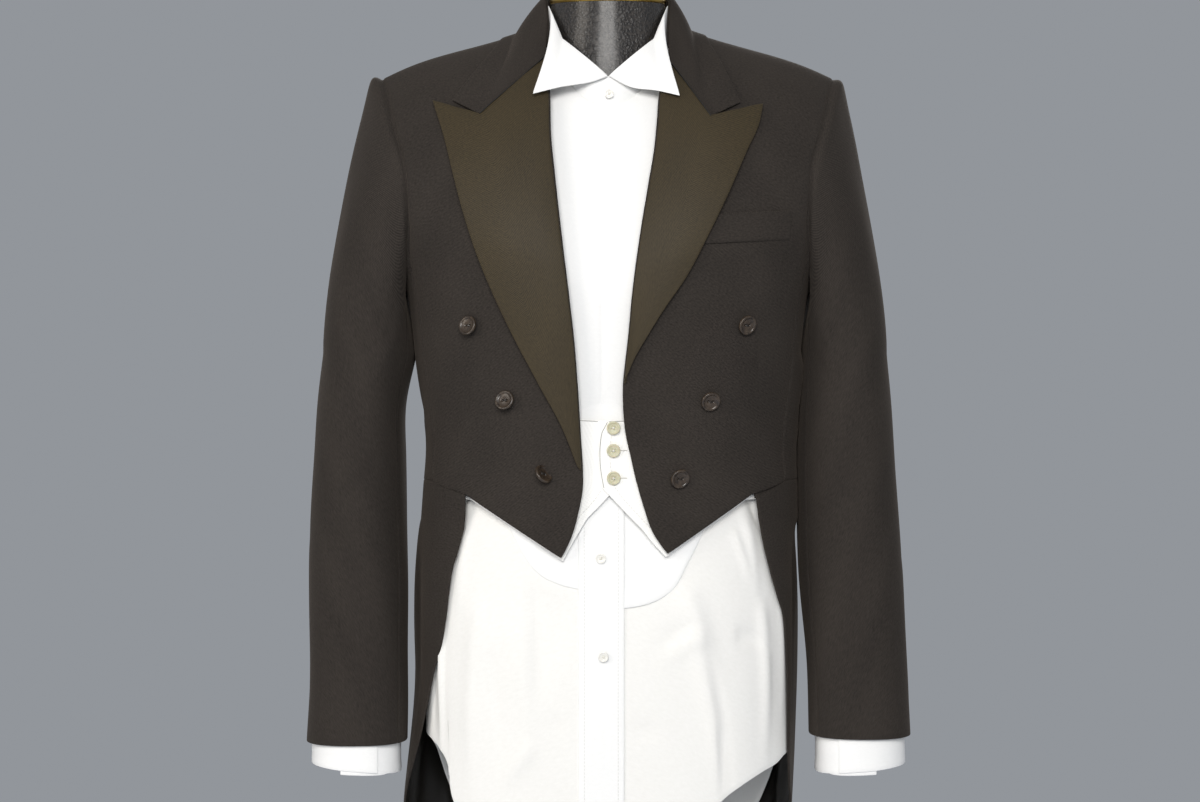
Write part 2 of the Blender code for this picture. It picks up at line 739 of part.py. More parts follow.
def shirt_body():
    ring = shirt_ring(SHIRT_TURNS)
    half = SHIRT_TURNS // 2
    ahead = ring[1:half + 1]
    behind = ring[:half - 1:-1]
    tip = ring[0]
    seam = SEAM / 0.16
    side_heights = (1.10, 1.05, 1.00, 0.88, 0.752)
    neck_z = SHIRT.ridge(BAND_RADIUS)
    neck_point = (SHIRT.angle(BAND_RADIUS, neck_z), neck_z)
    for name, sign in (("left", 1), ("right", -1)):
        start = sign * PLACKET_X + 0.0003
        neck = neck_edge((90.0, 75.0, 60.0, 45.0, 30.0, 15.0))
        heights = (neck_edge((5.0,))[0][1], 1.30, 1.24, 1.19, 1.16, 1.13, 1.08, 1.04, 1.00, 0.88, 0.660)
        inner = [neck_point] + neck + [(SHIRT.angle(start, z), z) for z in heights]
        side = [(math.radians(90.0) - seam / 2, z) for z in side_heights]
        outer = [tip] + ahead[:-1] + [(ahead[-1][0] - seam / 2, ahead[-1][1])] + side
        hem = [inner[-1]] + front(SHIRT, [(0.060, 0.672), (0.110, 0.706), (0.150, 0.732)]) + [side[-1]]
        places = patch([neck_point, tip], hem, inner, outer, 0, 8)
        if sign < 0:
            places = [mirrored(line) for line in places]
        panel("shirt_front_" + name, SHIRT, places, 0.0, COTTON, WHITE_SHIRTING)

    side = [(math.radians(90.0) + seam / 2, z) for z in side_heights]
    tip_back = (math.pi - tip[0], tip[1])
    outer = [tip_back] + behind[:-1] + [(behind[-1][0] + seam / 2, behind[-1][1])] + side
    neck = [(math.pi - neck_point[0], neck_z)] + neck_edge((98.0, 108.0, 120.0, 135.0, 150.0, 165.0))
    nape = neck_edge((180.0,))[0][1]
    low = (1.34, 1.28, 1.22, 1.17, 1.13, 1.08, 1.04, 1.00, 0.88, 0.630)
    inner = neck + [(math.pi, z) for z in (nape,) + low]
    hem = [inner[-1]] + around(((135.0, 0.650), (110.0, 0.690))) + [side[-1]]
    half_back = patch([neck[0], tip_back], hem, inner, outer, 0, 8)
    for name, places in (("left", half_back), ("right", [mirrored(line) for line in half_back])):
        panel("shirt_back_" + name, SHIRT, places, 0.0, COTTON, WHITE_SHIRTING)


# distance from the placket's middle, height: outer edge of the stiff front
BOSOM_EDGE = ((0.0560, 1.4020), (0.070, 1.365), (0.082, 1.320), (0.098, 1.250), (0.102, 1.130),
              (0.101, 1.010), (0.092, 0.968), (0.078, 0.938), (0.058, 0.916), (0.032, 0.905))


def bosom():
    for name, sign in (("left", 1), ("right", -1)):
        shift = sign * PLACKET_X
        top_z = neck_edge((10.0,))[0][1] - BOSOM_DROP
        inner = [(SHIRT.angle(shift + 0.0003, z), z) for z in (top_z, 1.20, 1.05, 0.96, 0.901)]
        outer = [(SHIRT.angle(x + shift, z), z) for x, z in BOSOM_EDGE]
        high = [(phi, z - BOSOM_DROP) for phi, z in neck_edge((30.0, 50.0))]
        top = [inner[0]] + high + [outer[0]]
        places = patch(top, [inner[-1], outer[-1]], inner, outer, 13, 5, 1.2)
        if sign < 0:
            places = [mirrored(line) for line in places]
        panel("bosom_" + name, SHIRT, places, BOSOM_OUT, COTTON, WHITE_SHIRTING)


def placket():
    rows = 17
    heights = [PLACKET_TOP_Z + k / (rows - 1) * (PLACKET_HEM_Z - PLACKET_TOP_Z) for k in range(rows)]
    places = [[(SHIRT.angle(PLACKET_X + u * PLACKET_HALF, z), z) for u in (-1.0, 1.0)]
              for z in heights]
    panel("placket", SHIRT, places, PLACKET_OUT, COTTON, WHITE_SHIRTING)


# ---------------------------------------------------------------- shirt collar

def band_top(x, back):
    """Height of the band's upper edge: a V in front, nearly level behind."""
    if back:
        return 1.4680
    share = min(abs(x) / 0.0437, 1.0)
    rest = max(abs(x) - 0.0437, 0.0) / (BAND_RADIUS - 0.0437)
    return 1.3905 + 0.0387 * share + 0.0388 * rest


def collar_band():
    count = 20
    start = math.radians(1.2)
    grid = [[], []]
    for k in range(count + 1):
        turn = start + (2 * math.pi - 2 * start) * k / count
        x, y = band_place(turn)
        top = band_top(x, math.cos(turn) < 0.0)
        low = height_at(SHIRT, abs(x), y) + 0.0025
        for row, z in zip(grid, (top, low)):
            row.append(Vector((x, y, z)))
    wall("collar_band", grid, [[-n for n in line] for line in facing(grid)], LINEN, WHITE_SHIRTING)


# x of the fold's top, x and z of the tip, x and z of the inner corner
WINGS = {"left": (0.0455, 0.0690, 1.3760, 0.0120, 1.3860),
         "right": (0.0440, 0.0703, 1.3745, 0.0144, 1.3860)}
WING_TIP_Y = -0.0790
WING_CLEAR = 2.0 * MM
WING_BOW = 3.0 * MM
LINEN = 0.9 * MM


def wings():
    count = 5
    for name, sign in (("left", 1), ("right", -1)):
        top_x, tip_x, tip_z, low_x, low_z = WINGS[name]
        tip = Vector((tip_x, WING_TIP_Y, tip_z))
        low = Vector((low_x, NECK_Y - BAND_DEPTH - 1.1 * WING_CLEAR, low_z))
        grid = []
        for i in range(count):
            v = i / (count - 1)
            x = low_x + (top_x - low_x) * (1.0 - v) * 0.98
            turn = math.asin(x / (BAND_RADIUS + WING_CLEAR))
            y = NECK_Y - (BAND_DEPTH + WING_CLEAR) * math.cos(turn)
            fold = Vector((x, y, band_top(x, False) - 0.6 * MM))
            far = tip.lerp(low, v * 0.92)
            line = []
            for j in range(count):
                u = j / (count - 1)
                p = fold.lerp(far, u)
                p.y -= WING_BOW * math.sin(math.pi * u) * (1.0 - v * 0.6)
                line.append(p)
            grid.append(line)
        if sign < 0:
            grid = flipped(grid)
        normals = facing(grid)
        if sign < 0:
            normals = [[-n for n in line] for line in normals]
        wall("wing_" + name, grid, normals, LINEN, WHITE_SHIRTING)


# ---------------------------------------------------------------- waistcoat

# distance from the middle, height: the neck edge from the shoulder down to the level top edge
WAISTCOAT_NECK = ((0.0800, 1.350), (0.0740, 1.260), (0.0680, 1.160), (0.0560, 1.090))
WAISTCOAT_ARM = ((0.1150, 1.350), (0.1250, 1.260), (0.1420, 1.180))
# the centre edges from the top edge down to the points, the left front lying over the right
WAISTCOAT_CENTRE = {
    1: ((-0.0032, 1.0663), (-0.0078, 1.052), (-0.0078, 1.030), (-0.0050, 1.0044), (0.0079, 0.9915),
        (0.0245, 0.9748), (0.0421, 0.9582), (0.0537, 0.9440)),
    -1: ((0.0090, 1.0663), (0.0085, 1.030), (0.0090, 1.003), (0.0198, 0.9748), (0.0300, 0.9601),
         (0.0437, 0.9392)),
}
WAISTCOAT_SIDE = 100.0
WAISTCOAT_HEM_Z = 1.000


def waistcoat():
    out = WAISTCOAT_OUT
    strap = front(COAT, [(x, COAT.ridge(x, out) - RIDGE_SEAM) for x in (0.086, 0.114)])
    arm = front(COAT, WAISTCOAT_ARM) + around(((80.0, 1.120), (WAISTCOAT_SIDE, 1.090)))
    side = around(((WAISTCOAT_SIDE, 1.060), (WAISTCOAT_SIDE, WAISTCOAT_HEM_Z)))
    for name, sign in (("left", 1), ("right", -1)):
        inner = [strap[0]] + front(COAT, WAISTCOAT_NECK + WAISTCOAT_CENTRE[sign])
        outer = [strap[1]] + arm + side
        hem = [inner[-1]] + front(COAT, ((0.1335, 0.9965),)) + [side[-1]]
        places = patch(strap, hem, inner, outer, 14, 6, 1.2)
        if sign < 0:
            places = [mirrored(line) for line in places]
        panel("waistcoat_" + name, COAT, places, out, PIQUE, WHITE_PIQUE)

    ends = rear(COAT, [(x, COAT.ridge(x, out) - RIDGE_SEAM) for x in (0.114, 0.086)])
    nape_low = (math.pi, 1.392)
    nape_top = (math.pi, 1.420)
    low = [ends[0], rear(COAT, [(0.070, 1.405)])[0], nape_low]
    high = [ends[1], rear(COAT, [(0.045, 1.425)])[0], nape_top]
    half = patch([ends[0], ends[1]], [nape_low, nape_top], low, high, 8, 2)
    far = [[(2 * math.pi - phi, z) for phi, z in line] for line in reversed(half[:-1])]
    panel("waistcoat_neck_strap", COAT, half + far, out, PIQUE, WHITE_PIQUE)

    start = WAISTCOAT_SIDE + 0.35
    belt = [[(math.radians(start + k * (360.0 - 2 * start) / 12), z) for z in (1.052, 1.008)]
            for k in range(13)]
    panel("waistcoat_waist_strap", COAT, belt, out, PIQUE, WHITE_PIQUE)


# ---------------------------------------------------------------- buttons

def on(surface, phi, z, out):
    """A place on a surface and the way it faces there."""
    return surface.point(phi, z, out), surface.normal(phi, z, out)


def button(name, place, radius, thick, made, sides=12):
    """A turned disc with a rim, its back just clear of the cloth."""
    at, n = place
    # radius share, height share of the profile from the back's middle to the face's middle
    profile = ((1.0, 0.15), (1.0, 0.75), (0.86, 1.0), (0.70, 0.80))
    across = n.cross(Vector((0.0, 0.0, 1.0))).normalized()
    up = across.cross(n).normalized()
    points = [at]
    for share, height in ((0.90, 0.0),) + profile:
        for k in range(sides):
            a = 2 * math.pi * k / sides
            points.append(at + (across * math.cos(a) + up * math.sin(a)) * radius * share
                          + n * thick * height)
    points.append(at + n * thick * profile[-1][1])
    faces = []
    rings = len(profile) + 1
    for k in range(sides):
        m = (k + 1) % sides
        faces.append([0, 1 + m, 1 + k])
        for r in range(rings - 1):
            a = 1 + r * sides
            faces.append([a + k, a + m, a + sides + m, a + sides + k])
        last = 1 + (rings - 1) * sides
        faces.append([last + k, last + m, len(points) - 1])
    solid(name, points, faces, made)


# distance from the middle, height: the three buttons of each forepart
COAT_BUTTONS = {"left": ((0.1263, 1.156), (0.0928, 1.0857), (0.0641, 1.0147)),
                "right": ((0.1272, 1.1533), (0.0936, 1.0839), (0.0650, 1.0129))}
COAT_BUTTON_RADIUS = 9.2 * MM
BUTTON_OUT = 0.7 * MM
COAT_BUTTON_THICK = 3.2 * MM
BACK_BUTTON = (0.0600, 1.012)
BACK_BUTTON_OUT = 0.9 * MM
WAISTCOAT_BUTTON_X = 0.0049
WAISTCOAT_BUTTONS = (1.0600, 1.0390, 1.0136)
# x, height
SHIRT_BUTTONS = ((-0.0069, 0.939), (-0.0045, 0.848))
SHIRT_BUTTON_RADIUS = 4.8 * MM


def buttons():
    for side, sign in (("left", 1), ("right", -1)):
        for row, (x, z) in enumerate(COAT_BUTTONS[side], 1):
            phi = sign * COAT.angle(x, z)
            button(f"coat_button_{side}_{row}", on(COAT, phi, z, BUTTON_OUT), COAT_BUTTON_RADIUS,
                   COAT_BUTTON_THICK, DARK_BUTTON)
        phi = sign * (math.pi - COAT.angle(*BACK_BUTTON))
        button(f"back_button_{side}", on(COAT, phi, BACK_BUTTON[1], BACK_BUTTON_OUT),
               COAT_BUTTON_RADIUS, COAT_BUTTON_THICK, DARK_BUTTON)
    out = WAISTCOAT_OUT + 0.4 * MM
    for row, z in enumerate(WAISTCOAT_BUTTONS, 1):
        phi = COAT.angle(WAISTCOAT_BUTTON_X, z)
        button(f"waistcoat_button_{row}", on(COAT, phi, z, out), 6.4 * MM, 2.4 * MM, CREAM_BUTTON, 10)
    out = PLACKET_OUT + 0.5 * MM
    for row, (x, z) in enumerate(SHIRT_BUTTONS, 1):
        place = on(SHIRT, SHIRT.angle(x, z), z, out)
        button(f"shirt_button_{row}", place, SHIRT_BUTTON_RADIUS, 1.8 * MM, WHITE_SHIRTING, 10)
    at = Vector((0.0009, NECK_Y - BAND_DEPTH - 1.1 * MM, 1.3740))
    button("collar_button", (at, Vector((0.0, -1.0, 0.0))), 3.8 * MM, 1.6 * MM, WHITE_SHIRTING, 10)


# ---------------------------------------------------------------- form and stand

def turned(name, profile, sides, made, tilt=0.0, centre=(0.0, 0.0)):
    """A closed turned solid from (radius, height) rows, lowest first. Tilt drops its front."""
    points = []
    for radius, z in profile:
        for k in range(sides):
            a = 2 * math.pi * k / sides
            x = centre[0] + radius * math.sin(a)
            y = centre[1] - radius * math.cos(a)
            points.append(Vector((x, y, z + tilt * (y - centre[1]))))
    faces = [[k for k in range(sides)], [(len(profile) - 1) * sides + k for k in range(sides)][::-1]]
    for r in range(len(profile) - 1):
        for k in range(sides):
            m = (k + 1) % sides
            faces.append([r * sides + k, r * sides + m, (r + 1) * sides + m, (r + 1) * sides + k])
    return solid(name, points, faces, made)


def form():
    around_half = 8
    levels = 13
    rows = []
    for i in range(levels):
        share = i / (levels - 1)
        share = 1.0 - (1.0 - share) ** 1.25
        line = []
        for j in range(around_half * 4):
            phi = 2 * math.pi * j / (around_half * 4)
            x = FORM.point(phi, 1.30).x
            top = FORM.ridge(x)
            line.append(FORM.point(phi, FORM_BOTTOM_Z + (top - 0.0002 - FORM_BOTTOM_Z) * share))
        rows.append(line)
    cols = around_half * 4
    points = [p for line in rows for p in line]
    faces = [[j for j in range(cols)]]
    for i in range(levels - 1):
        for j in range(cols):
            k = (j + 1) % cols
            faces.append([i * cols + j, i * cols + k, (i + 1) * cols + k, (i + 1) * cols + j])
    top = (levels - 1) * cols
    half = cols // 2
    quarter = cols // 4
    for j in range(-quarter, quarter):
        a, b = top + j % cols, top + (j + 1) % cols
        c, d = top + (half - j - 1) % cols, top + (half - j) % cols
        quad = []
        for v in (a, b, c, d):
            if v not in quad:
                quad.append(v)
        if len(quad) > 2:
            faces.append(quad)
    torso = solid("form_torso", points, faces, FORM_COVER)
    neck = turned("neck_join", ((NECK_RADIUS, 1.30), (NECK_RADIUS, NECK_TOP_Z)), 28, FORM_COVER,
                  NECK_TILT, (0.0, NECK_Y))
    neck.hide_render = True
    neck.display_type = "WIRE"
    join = torso.modifiers.new("neck", "BOOLEAN")
    join.operation = "UNION"
    join.solver = "EXACT"
    join.object = neck
    turned("neck_ring", ((NECK_RADIUS + 0.0004, NECK_TOP_Z + 0.0004),
                         (NECK_RADIUS + 0.0012, NECK_TOP_Z + 0.0030),
                         (NECK_RADIUS - 0.0004, NECK_TOP_Z + 0.0064)), 28, BRASS, NECK_TILT, (0.0, NECK_Y))
    turned("neck_cap", ((NECK_RADIUS - 0.0008, NECK_TOP_Z + 0.0068),
                        (NECK_RADIUS - 0.0020, NECK_TOP_Z + 0.0130),
                        (NECK_RADIUS - 0.0140, NECK_TOP_Z + 0.0200)), 28, FORM_COVER, NECK_TILT,
           (0.0, NECK_Y))


def stand():
    turned("base", ((BASE_RADIUS, 0.0), (BASE_RADIUS, BASE_HEIGHT * 0.6),
                    (BASE_RADIUS - 0.006, BASE_HEIGHT)), 32, STAND_METAL)
    turned("pole", ((POLE_RADIUS + 0.012, BASE_HEIGHT + 0.0003), (POLE_RADIUS + 0.012, BASE_HEIGHT + 0.006),
                    (POLE_RADIUS, BASE_HEIGHT + 0.018), (POLE_RADIUS, FORM_BOTTOM_Z - 0.0003)),
           16, STAND_METAL)


coat_body()
skirts()
lapels()
collar_leaf()
collar_stand()
welt()
coat_sleeves()
shirt_sleeves()
shirt_body()
bosom()
placket()
collar_band()
wings()
waistcoat()
buttons()
form()
stand()
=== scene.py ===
"""Evening tailcoat, white waistcoat and wing-collar shirt on a limbless form: the visible pieces.

Metres, +Z up, the front towards -Y, the wearer's left towards +X. Every cut piece of cloth is a
thin wall on the body's own surface, with its seams sunk, its edges turned and its creases placed
one by one. A place on a body is given as an angle round it, from the front middle, and a height.
"""

import math

import bmesh
import bpy
import numpy as np
from bpy.props import FloatProperty, PointerProperty
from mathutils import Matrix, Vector


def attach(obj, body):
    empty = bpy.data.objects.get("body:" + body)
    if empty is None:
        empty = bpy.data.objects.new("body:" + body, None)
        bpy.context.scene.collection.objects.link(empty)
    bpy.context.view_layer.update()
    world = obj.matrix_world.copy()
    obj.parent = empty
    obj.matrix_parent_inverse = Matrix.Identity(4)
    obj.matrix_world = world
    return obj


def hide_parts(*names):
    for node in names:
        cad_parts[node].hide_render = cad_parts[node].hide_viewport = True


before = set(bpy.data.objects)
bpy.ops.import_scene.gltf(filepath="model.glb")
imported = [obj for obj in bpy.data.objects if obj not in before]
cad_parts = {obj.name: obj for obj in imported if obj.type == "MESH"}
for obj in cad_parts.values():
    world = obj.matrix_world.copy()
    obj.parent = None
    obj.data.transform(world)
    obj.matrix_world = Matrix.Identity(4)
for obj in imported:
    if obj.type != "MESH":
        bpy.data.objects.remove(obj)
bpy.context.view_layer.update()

bl_info = {
    "name": "Tailcoat on a Form",
    "version": (1, 0, 0),
    "blender": (4, 5, 0),
    "location": "View3D > Sidebar > Tailcoat",
    "description": "Builds an evening tailcoat, waistcoat and dress shirt on a limbless form",
    "category": "Object",
}

MM = 0.001
ROOT = "root"
ARC = 0.16

SHOULDER_X = 0.2195
SHOULDER_Z = 1.399
SHOULDER_SLOPE = 0.33
SHOULDER_PAD = 3.4 * MM
SHOULDER_Y = 0.012
SQUARENESS = 2.4
CHEST_ROLL = 1.6
RIDGE_SEAM = 0.02 * MM

LAPEL_OUT = 2.6 * MM
LEAF_OUT = 3.2 * MM
WELT_OUT = 2.0 * MM
BOSOM_OUT = 1.3 * MM
PLACKET_OUT = 2.6 * MM
WAISTCOAT_OUT = -6.6 * MM

ARMHOLE_Z = 1.190
SLEEVE_TOP_Z = 1.130
SLEEVE_HEM_Z = {1: 0.768, -1: 0.762}
CUFF_HEM_Z = 0.737
TAIL_HEM_Z = 0.400
SIDE_SEAM = 68.0
NECK_X = 0.080

# height, half width, front depth, back depth: outer face of the coat
COAT_RINGS = (
    (0.40, 0.172, 0.100, 0.106),
    (0.60, 0.176, 0.104, 0.112),
    (0.75, 0.182, 0.108, 0.114),
    (0.92, 0.184, 0.114, 0.114),
    (1.00, 0.179, 0.112, 0.102),
    (1.04, 0.176, 0.112, 0.100),
    (1.12, 0.185, 0.120, 0.108),
    (1.19, 0.194, 0.126, 0.116),
    (1.25, 0.212, 0.126, 0.120),
    (1.31, 0.232, 0.122, 0.118),
    (1.47, 0.234, 0.110, 0.112),
)
# height, half width, front depth, back depth: outer face of the shirt
SHIRT_RINGS = (
    (0.60, 0.165, 0.092, 0.093),
    (0.75, 0.1745, 0.0960, 0.097),
    (0.92, 0.173, 0.1000, 0.097),
    (1.00, 0.163, 0.0985, 0.088),
    (1.04, 0.160, 0.0985, 0.086),
    (1.12, 0.170, 0.1065, 0.094),
    (1.19, 0.181, 0.1125, 0.102),
    (1.25, 0.198, 0.1125, 0.106),
    (1.31, 0.218, 0.1085, 0.104),
    (1.47, 0.220, 0.0965, 0.098),
)
# height, half width, front depth, back depth: the form
FORM_RINGS = (
    (0.83, 0.148, 0.082, 0.076),
    (0.92, 0.160, 0.092, 0.086),
    (1.00, 0.154, 0.091, 0.078),
    (1.04, 0.152, 0.091, 0.076),
    (1.12, 0.160, 0.098, 0.084),
    (1.19, 0.166, 0.103, 0.091),
    (1.25, 0.172, 0.102, 0.094),
    (1.31, 0.182, 0.098, 0.090),
    (1.47, 0.184, 0.085, 0.083),
)


# ---------------------------------------------------------------- lines and surfaces

def through(knots, values, at):
    """Smooth values at the given places along a table."""
    knots = np.asarray(knots, float)
    values = np.asarray(values, float)
    slopes = np.gradient(values, knots, axis=0)
    at = np.clip(at, knots[0], knots[-1])
    i = np.clip(np.searchsorted(knots, at) - 1, 0, len(knots) - 2)
    span = knots[i + 1] - knots[i]
    t = (at - knots[i]) / span
    if values.ndim > 1:
        t = t[..., None]
        span = span[..., None]
    low, high = values[i], values[i + 1]
    rise, fall = slopes[i] * span, slopes[i + 1] * span
    return (low * (2 * t ** 3 - 3 * t ** 2 + 1) + high * (3 * t ** 2 - 2 * t ** 3)
            + rise * (t ** 3 - 2 * t ** 2 + t) + fall * (t ** 3 - t ** 2))


def lengths(line):
    """Distance along a line to each of its points."""
    steps = np.linalg.norm(np.diff(line, axis=0), axis=1)
    return np.concatenate([[0.0], np.cumsum(steps)])


def smooth_line(points, count=48):
    """A smooth line through the given points."""
    points = np.asarray(points, float)
    if len(points) < 3:
        return points[0] + (points[-1] - points[0]) * np.linspace(0, 1, count)[:, None]
    run = lengths(points)
    return through(run, points, np.linspace(0, run[-1], count))


def joined(*lines):
    """Lines put end to end, with a corner where they meet and no place given twice."""
    whole = np.atleast_2d(lines[0])
    for line in lines[1:]:
        line = np.atleast_2d(line)
        same = np.allclose(whole[-1], line[0], atol=1e-6)
        whole = np.concatenate([whole, line[1:] if same else line])
    return whole


def spread(line, shares, metric=None):
    """Points at the given shares of a line's length."""
    run = lengths(line * metric if metric is not None else line)
    at = np.asarray(shares) * run[-1]
    return np.stack([np.interp(at, run, line[:, k]) for k in range(line.shape[1])], -1)


def patch(top, bottom, inner, outer, down, across, metric=None):
    """A grid filled in from four lines that meet at their ends."""
    top, bottom = (spread(line, across, metric) for line in (top, bottom))
    inner, outer = (spread(line, down, metric) for line in (inner, outer))
    v = np.asarray(down)[:, None, None]
    u = np.asarray(across)[None, :, None]
    ruled = (1 - v) * top[None] + v * bottom[None] + (1 - u) * inner[:, None] + u * outer[:, None]
    corners = ((1 - u) * (1 - v) * top[0] + u * (1 - v) * top[-1]
               + (1 - u) * v * bottom[0] + u * v * bottom[-1])
    return ruled - corners


class Body:
    """A body's surface: rings by height, closed over the shoulders at a sloping ridge."""

    def __init__(self, rings, drop, flare=0.0, low_square=SQUARENESS):
        table = np.array(rings)
        self.heights = table[:, 0]
        self.rings = table[:, 1:]
        self.drop = drop
        self.flare = flare
        self.low_square = low_square

    def power(self, z):
        """How square the section is: more so below the waist on the shirt."""
        low = np.clip((1.01 - z) / 0.05, 0.0, 1.0)
        return SQUARENESS + (self.low_square - SQUARENESS) * low

    def ridge(self, x, out=0.0):
        """Height of the shoulder's ridge above a distance from the middle."""
        share = np.clip((np.abs(x) - 0.09) / (SHOULDER_X - 0.09), 0.0, 1.0)
        padded = SHOULDER_PAD * np.sin(math.pi * share ** 1.8)
        return SHOULDER_Z + (SHOULDER_X - np.abs(x)) * SHOULDER_SLOPE + padded - self.drop + out

    def point(self, phi, z, out=0.0):
        """The place at a turn from the front and a height, standing off the surface."""
        phi, z, out = np.broadcast_arrays(phi, np.asarray(z, float), out)
        half, ahead, behind = np.moveaxis(through(self.heights, self.rings, z), -1, 0)
        side = np.sin(phi)
        fore = np.cos(phi)
        power = 2 / self.power(z)
        x = np.sign(side) * (half + out) * np.abs(side) ** power
        t = np.clip((0.84 - z) / 0.18, 0.0, 1.0)
        x = np.where(side < 0.0, x * (1.0 + self.flare * t * t * (3 - 2 * t)), x)
        top = self.ridge(x, out)
        z = np.minimum(z, top - RIDGE_SEAM)
        depth = np.where(fore > 0.0, ahead, behind) + out
        full = -np.sign(fore) * depth * np.abs(fore) ** power
        reach = np.where(fore > 0.0, 0.28 - 0.6 * np.minimum(np.abs(x), 0.2), 0.12)
        t = np.clip((top - z) / reach, 0.0, 1.0)
        rise = (1.0 - (1.0 - t) ** CHEST_ROLL) ** (1.0 / CHEST_ROLL)
        return np.stack([x, SHOULDER_Y + (full - SHOULDER_Y) * rise, z], -1)

    def angle(self, x, z):
        """The angle of a place on the front that lies x from the middle."""
        half = through(self.heights, self.rings, np.asarray(z, float))[..., 0]
        share = np.minimum(np.abs(x) / half, 1.0) ** (self.power(np.asarray(z, float)) / 2)
        return np.sign(x) * np.arcsin(share)

    def height(self, x, y, out=0.0):
        """Height of the surface over plan points near the shoulders and the neck."""
        low = np.full(np.shape(x), 1.20)
        high = self.ridge(x, out)
        ahead = np.asarray(y) < SHOULDER_Y
        for _ in range(30):
            z = (low + high) / 2
            phi = self.angle(x, z)
            here = self.point(np.where(ahead, phi, math.pi - phi), z, out)[..., 1]
            under = (here < y) == ahead
            low = np.where(under, z, low)
            high = np.where(under, high, z)
        return low


COAT = Body(COAT_RINGS, 0.0, 0.11)
SHIRT = Body(SHIRT_RINGS, 0.0135, low_square=2.85)
FORM = Body(FORM_RINGS, 0.0156)
METRIC = np.array([ARC, 1.0])
DENSE = np.linspace(0.0, 1.0, 320) ** 2.0


def cut_places(top, bottom, inner, outer, across):
    """A fine grid of places filled in from a panel's four edges."""
    return patch(top, bottom, inner, outer, DENSE, across, METRIC)


def evened(body, places, shares):
    """The same grid with its rows at the given shares of the real distance down the cloth."""
    face = body.point(places[..., 0], places[..., 1])
    run = np.cumsum(np.linalg.norm(np.diff(face, axis=0), axis=-1), axis=0)
    run = np.pad(run, ((1, 0), (0, 0)))
    found = np.empty((len(shares),) + places.shape[1:])
    for j in range(places.shape[1]):
        for k in (0, 1):
            found[:, j, k] = np.interp(shares * run[-1, j], run[:, j], places[:, j, k])
    return found


def front(body, rows, count=48):
    """A smooth line on the front from (distance from the middle, height) rows."""
    line = smooth_line(rows, count)
    return np.stack([body.angle(line[:, 0], line[:, 1]), line[:, 1]], -1)


def rear(body, rows, count=48):
    """The same on the back, for distances of 0 or more."""
    line = front(body, rows, count)
    line[:, 0] = math.pi - line[:, 0]
    return line


def around(rows, count=48):
    """A smooth line from (angle in degrees, height) rows."""
    line = smooth_line(rows, count)
    return np.stack([np.radians(line[:, 0]), line[:, 1]], -1)


def crest(body, start, end, out=0.0, behind=False):
    """The line over the shoulder between two distances from the middle."""
    x = np.linspace(start, end, 24)
    line = np.stack([body.angle(x, body.ridge(x, out)), body.ridge(x, out)], -1)
    if behind:
        line[:, 0] = math.pi - line[:, 0]
    return line


GROOVE = np.array([0.7, 1.5, 2.6, 4.0]) * MM


def marks(count, length, start=False, end=False, crowd=1.0):
    """Shares of a length, with more of them beside an edge that is a seam."""
    base = np.linspace(0.0, 1.0, count) ** crowd
    found = [base]
    close = GROOVE / length
    if start:
        base[1:-1] = base[1:-1] * (1 - close[-1]) + close[-1]
        found.append(close)
    if end:
        base[1:-1] = base[1:-1] * (1 - close[-1])
        found.append(1 - close)
    return np.unique(np.round(np.concatenate(found), 7))


def directions(face, loop=False):
    """Unit directions square to a grid of points."""
    if loop:
        across = np.roll(face, -1, axis=1) - np.roll(face, 1, axis=1)
    else:
        across = np.gradient(face, axis=1)
    n = np.cross(across, np.gradient(face, axis=0))
    size = np.linalg.norm(n, axis=-1, keepdims=True)
    return n / np.maximum(size, 1e-12)


def pointing(face, centre, loop=False):
    """Directions that point away from a centre line, given as x and y."""
    n = directions(face, loop)
    away = face[..., :2] - np.asarray(centre)
    return n if np.sum(away * n[..., :2]) > 0 else -n


def ripple(points, size, seed):
    """An uneven soft wave from -1 to 1 over the points, of about the given size."""
    draw = np.random.default_rng(seed)
    total = np.zeros(points.shape[:-1])
    for _ in range(5):
        way = draw.normal(size=3) * (1.0, 1.0, 0.6)
        way /= np.linalg.norm(way)
        turns = draw.uniform(0.7, 1.5) / size
        total += np.sin(points @ way * turns * 2 * math.pi + draw.uniform(0, 2 * math.pi))
    return total / 5


def creased(around_m, up_m, rows):
    """Soft ridges and troughs: start, end, width and height of each, in the cloth's own measures.

    Rows are (start across, start up, end across, end up, width, height, bend), in metres. A ridge
    is highest a third of the way from its start and fades out at both ends.
    """
    push = np.zeros(np.shape(up_m))
    for x0, z0, x1, z1, width, height, bend in rows:
        dx, dz = x1 - x0, z1 - z0
        long = math.hypot(dx, dz)
        along = ((around_m - x0) * dx + (up_m - z0) * dz) / long ** 2
        off = ((around_m - x0) * -dz + (up_m - z0) * dx) / long
        t = np.clip(along, 0.0, 1.0)
        off = off - bend * np.sin(math.pi * t)
        beyond = (along - t) * long
        fade = np.sin(math.pi * t ** 0.63) ** 0.8
        push += height * np.exp(-(off ** 2 + beyond ** 2) / width ** 2) * fade
    return push


# ---------------------------------------------------------------- meshes

def quads(index, uv):
    """Four-sided faces of a grid of vertex numbers, with the places their corners take."""
    corners = [np.s_[:-1, :-1], np.s_[:-1, 1:], np.s_[1:, 1:], np.s_[1:, :-1]]
    faces = np.stack([index[c] for c in corners], -1).reshape(-1, 4)
    places = np.stack([uv[c] for c in corners], -2).reshape(-1, 4, 2)
    return faces, places


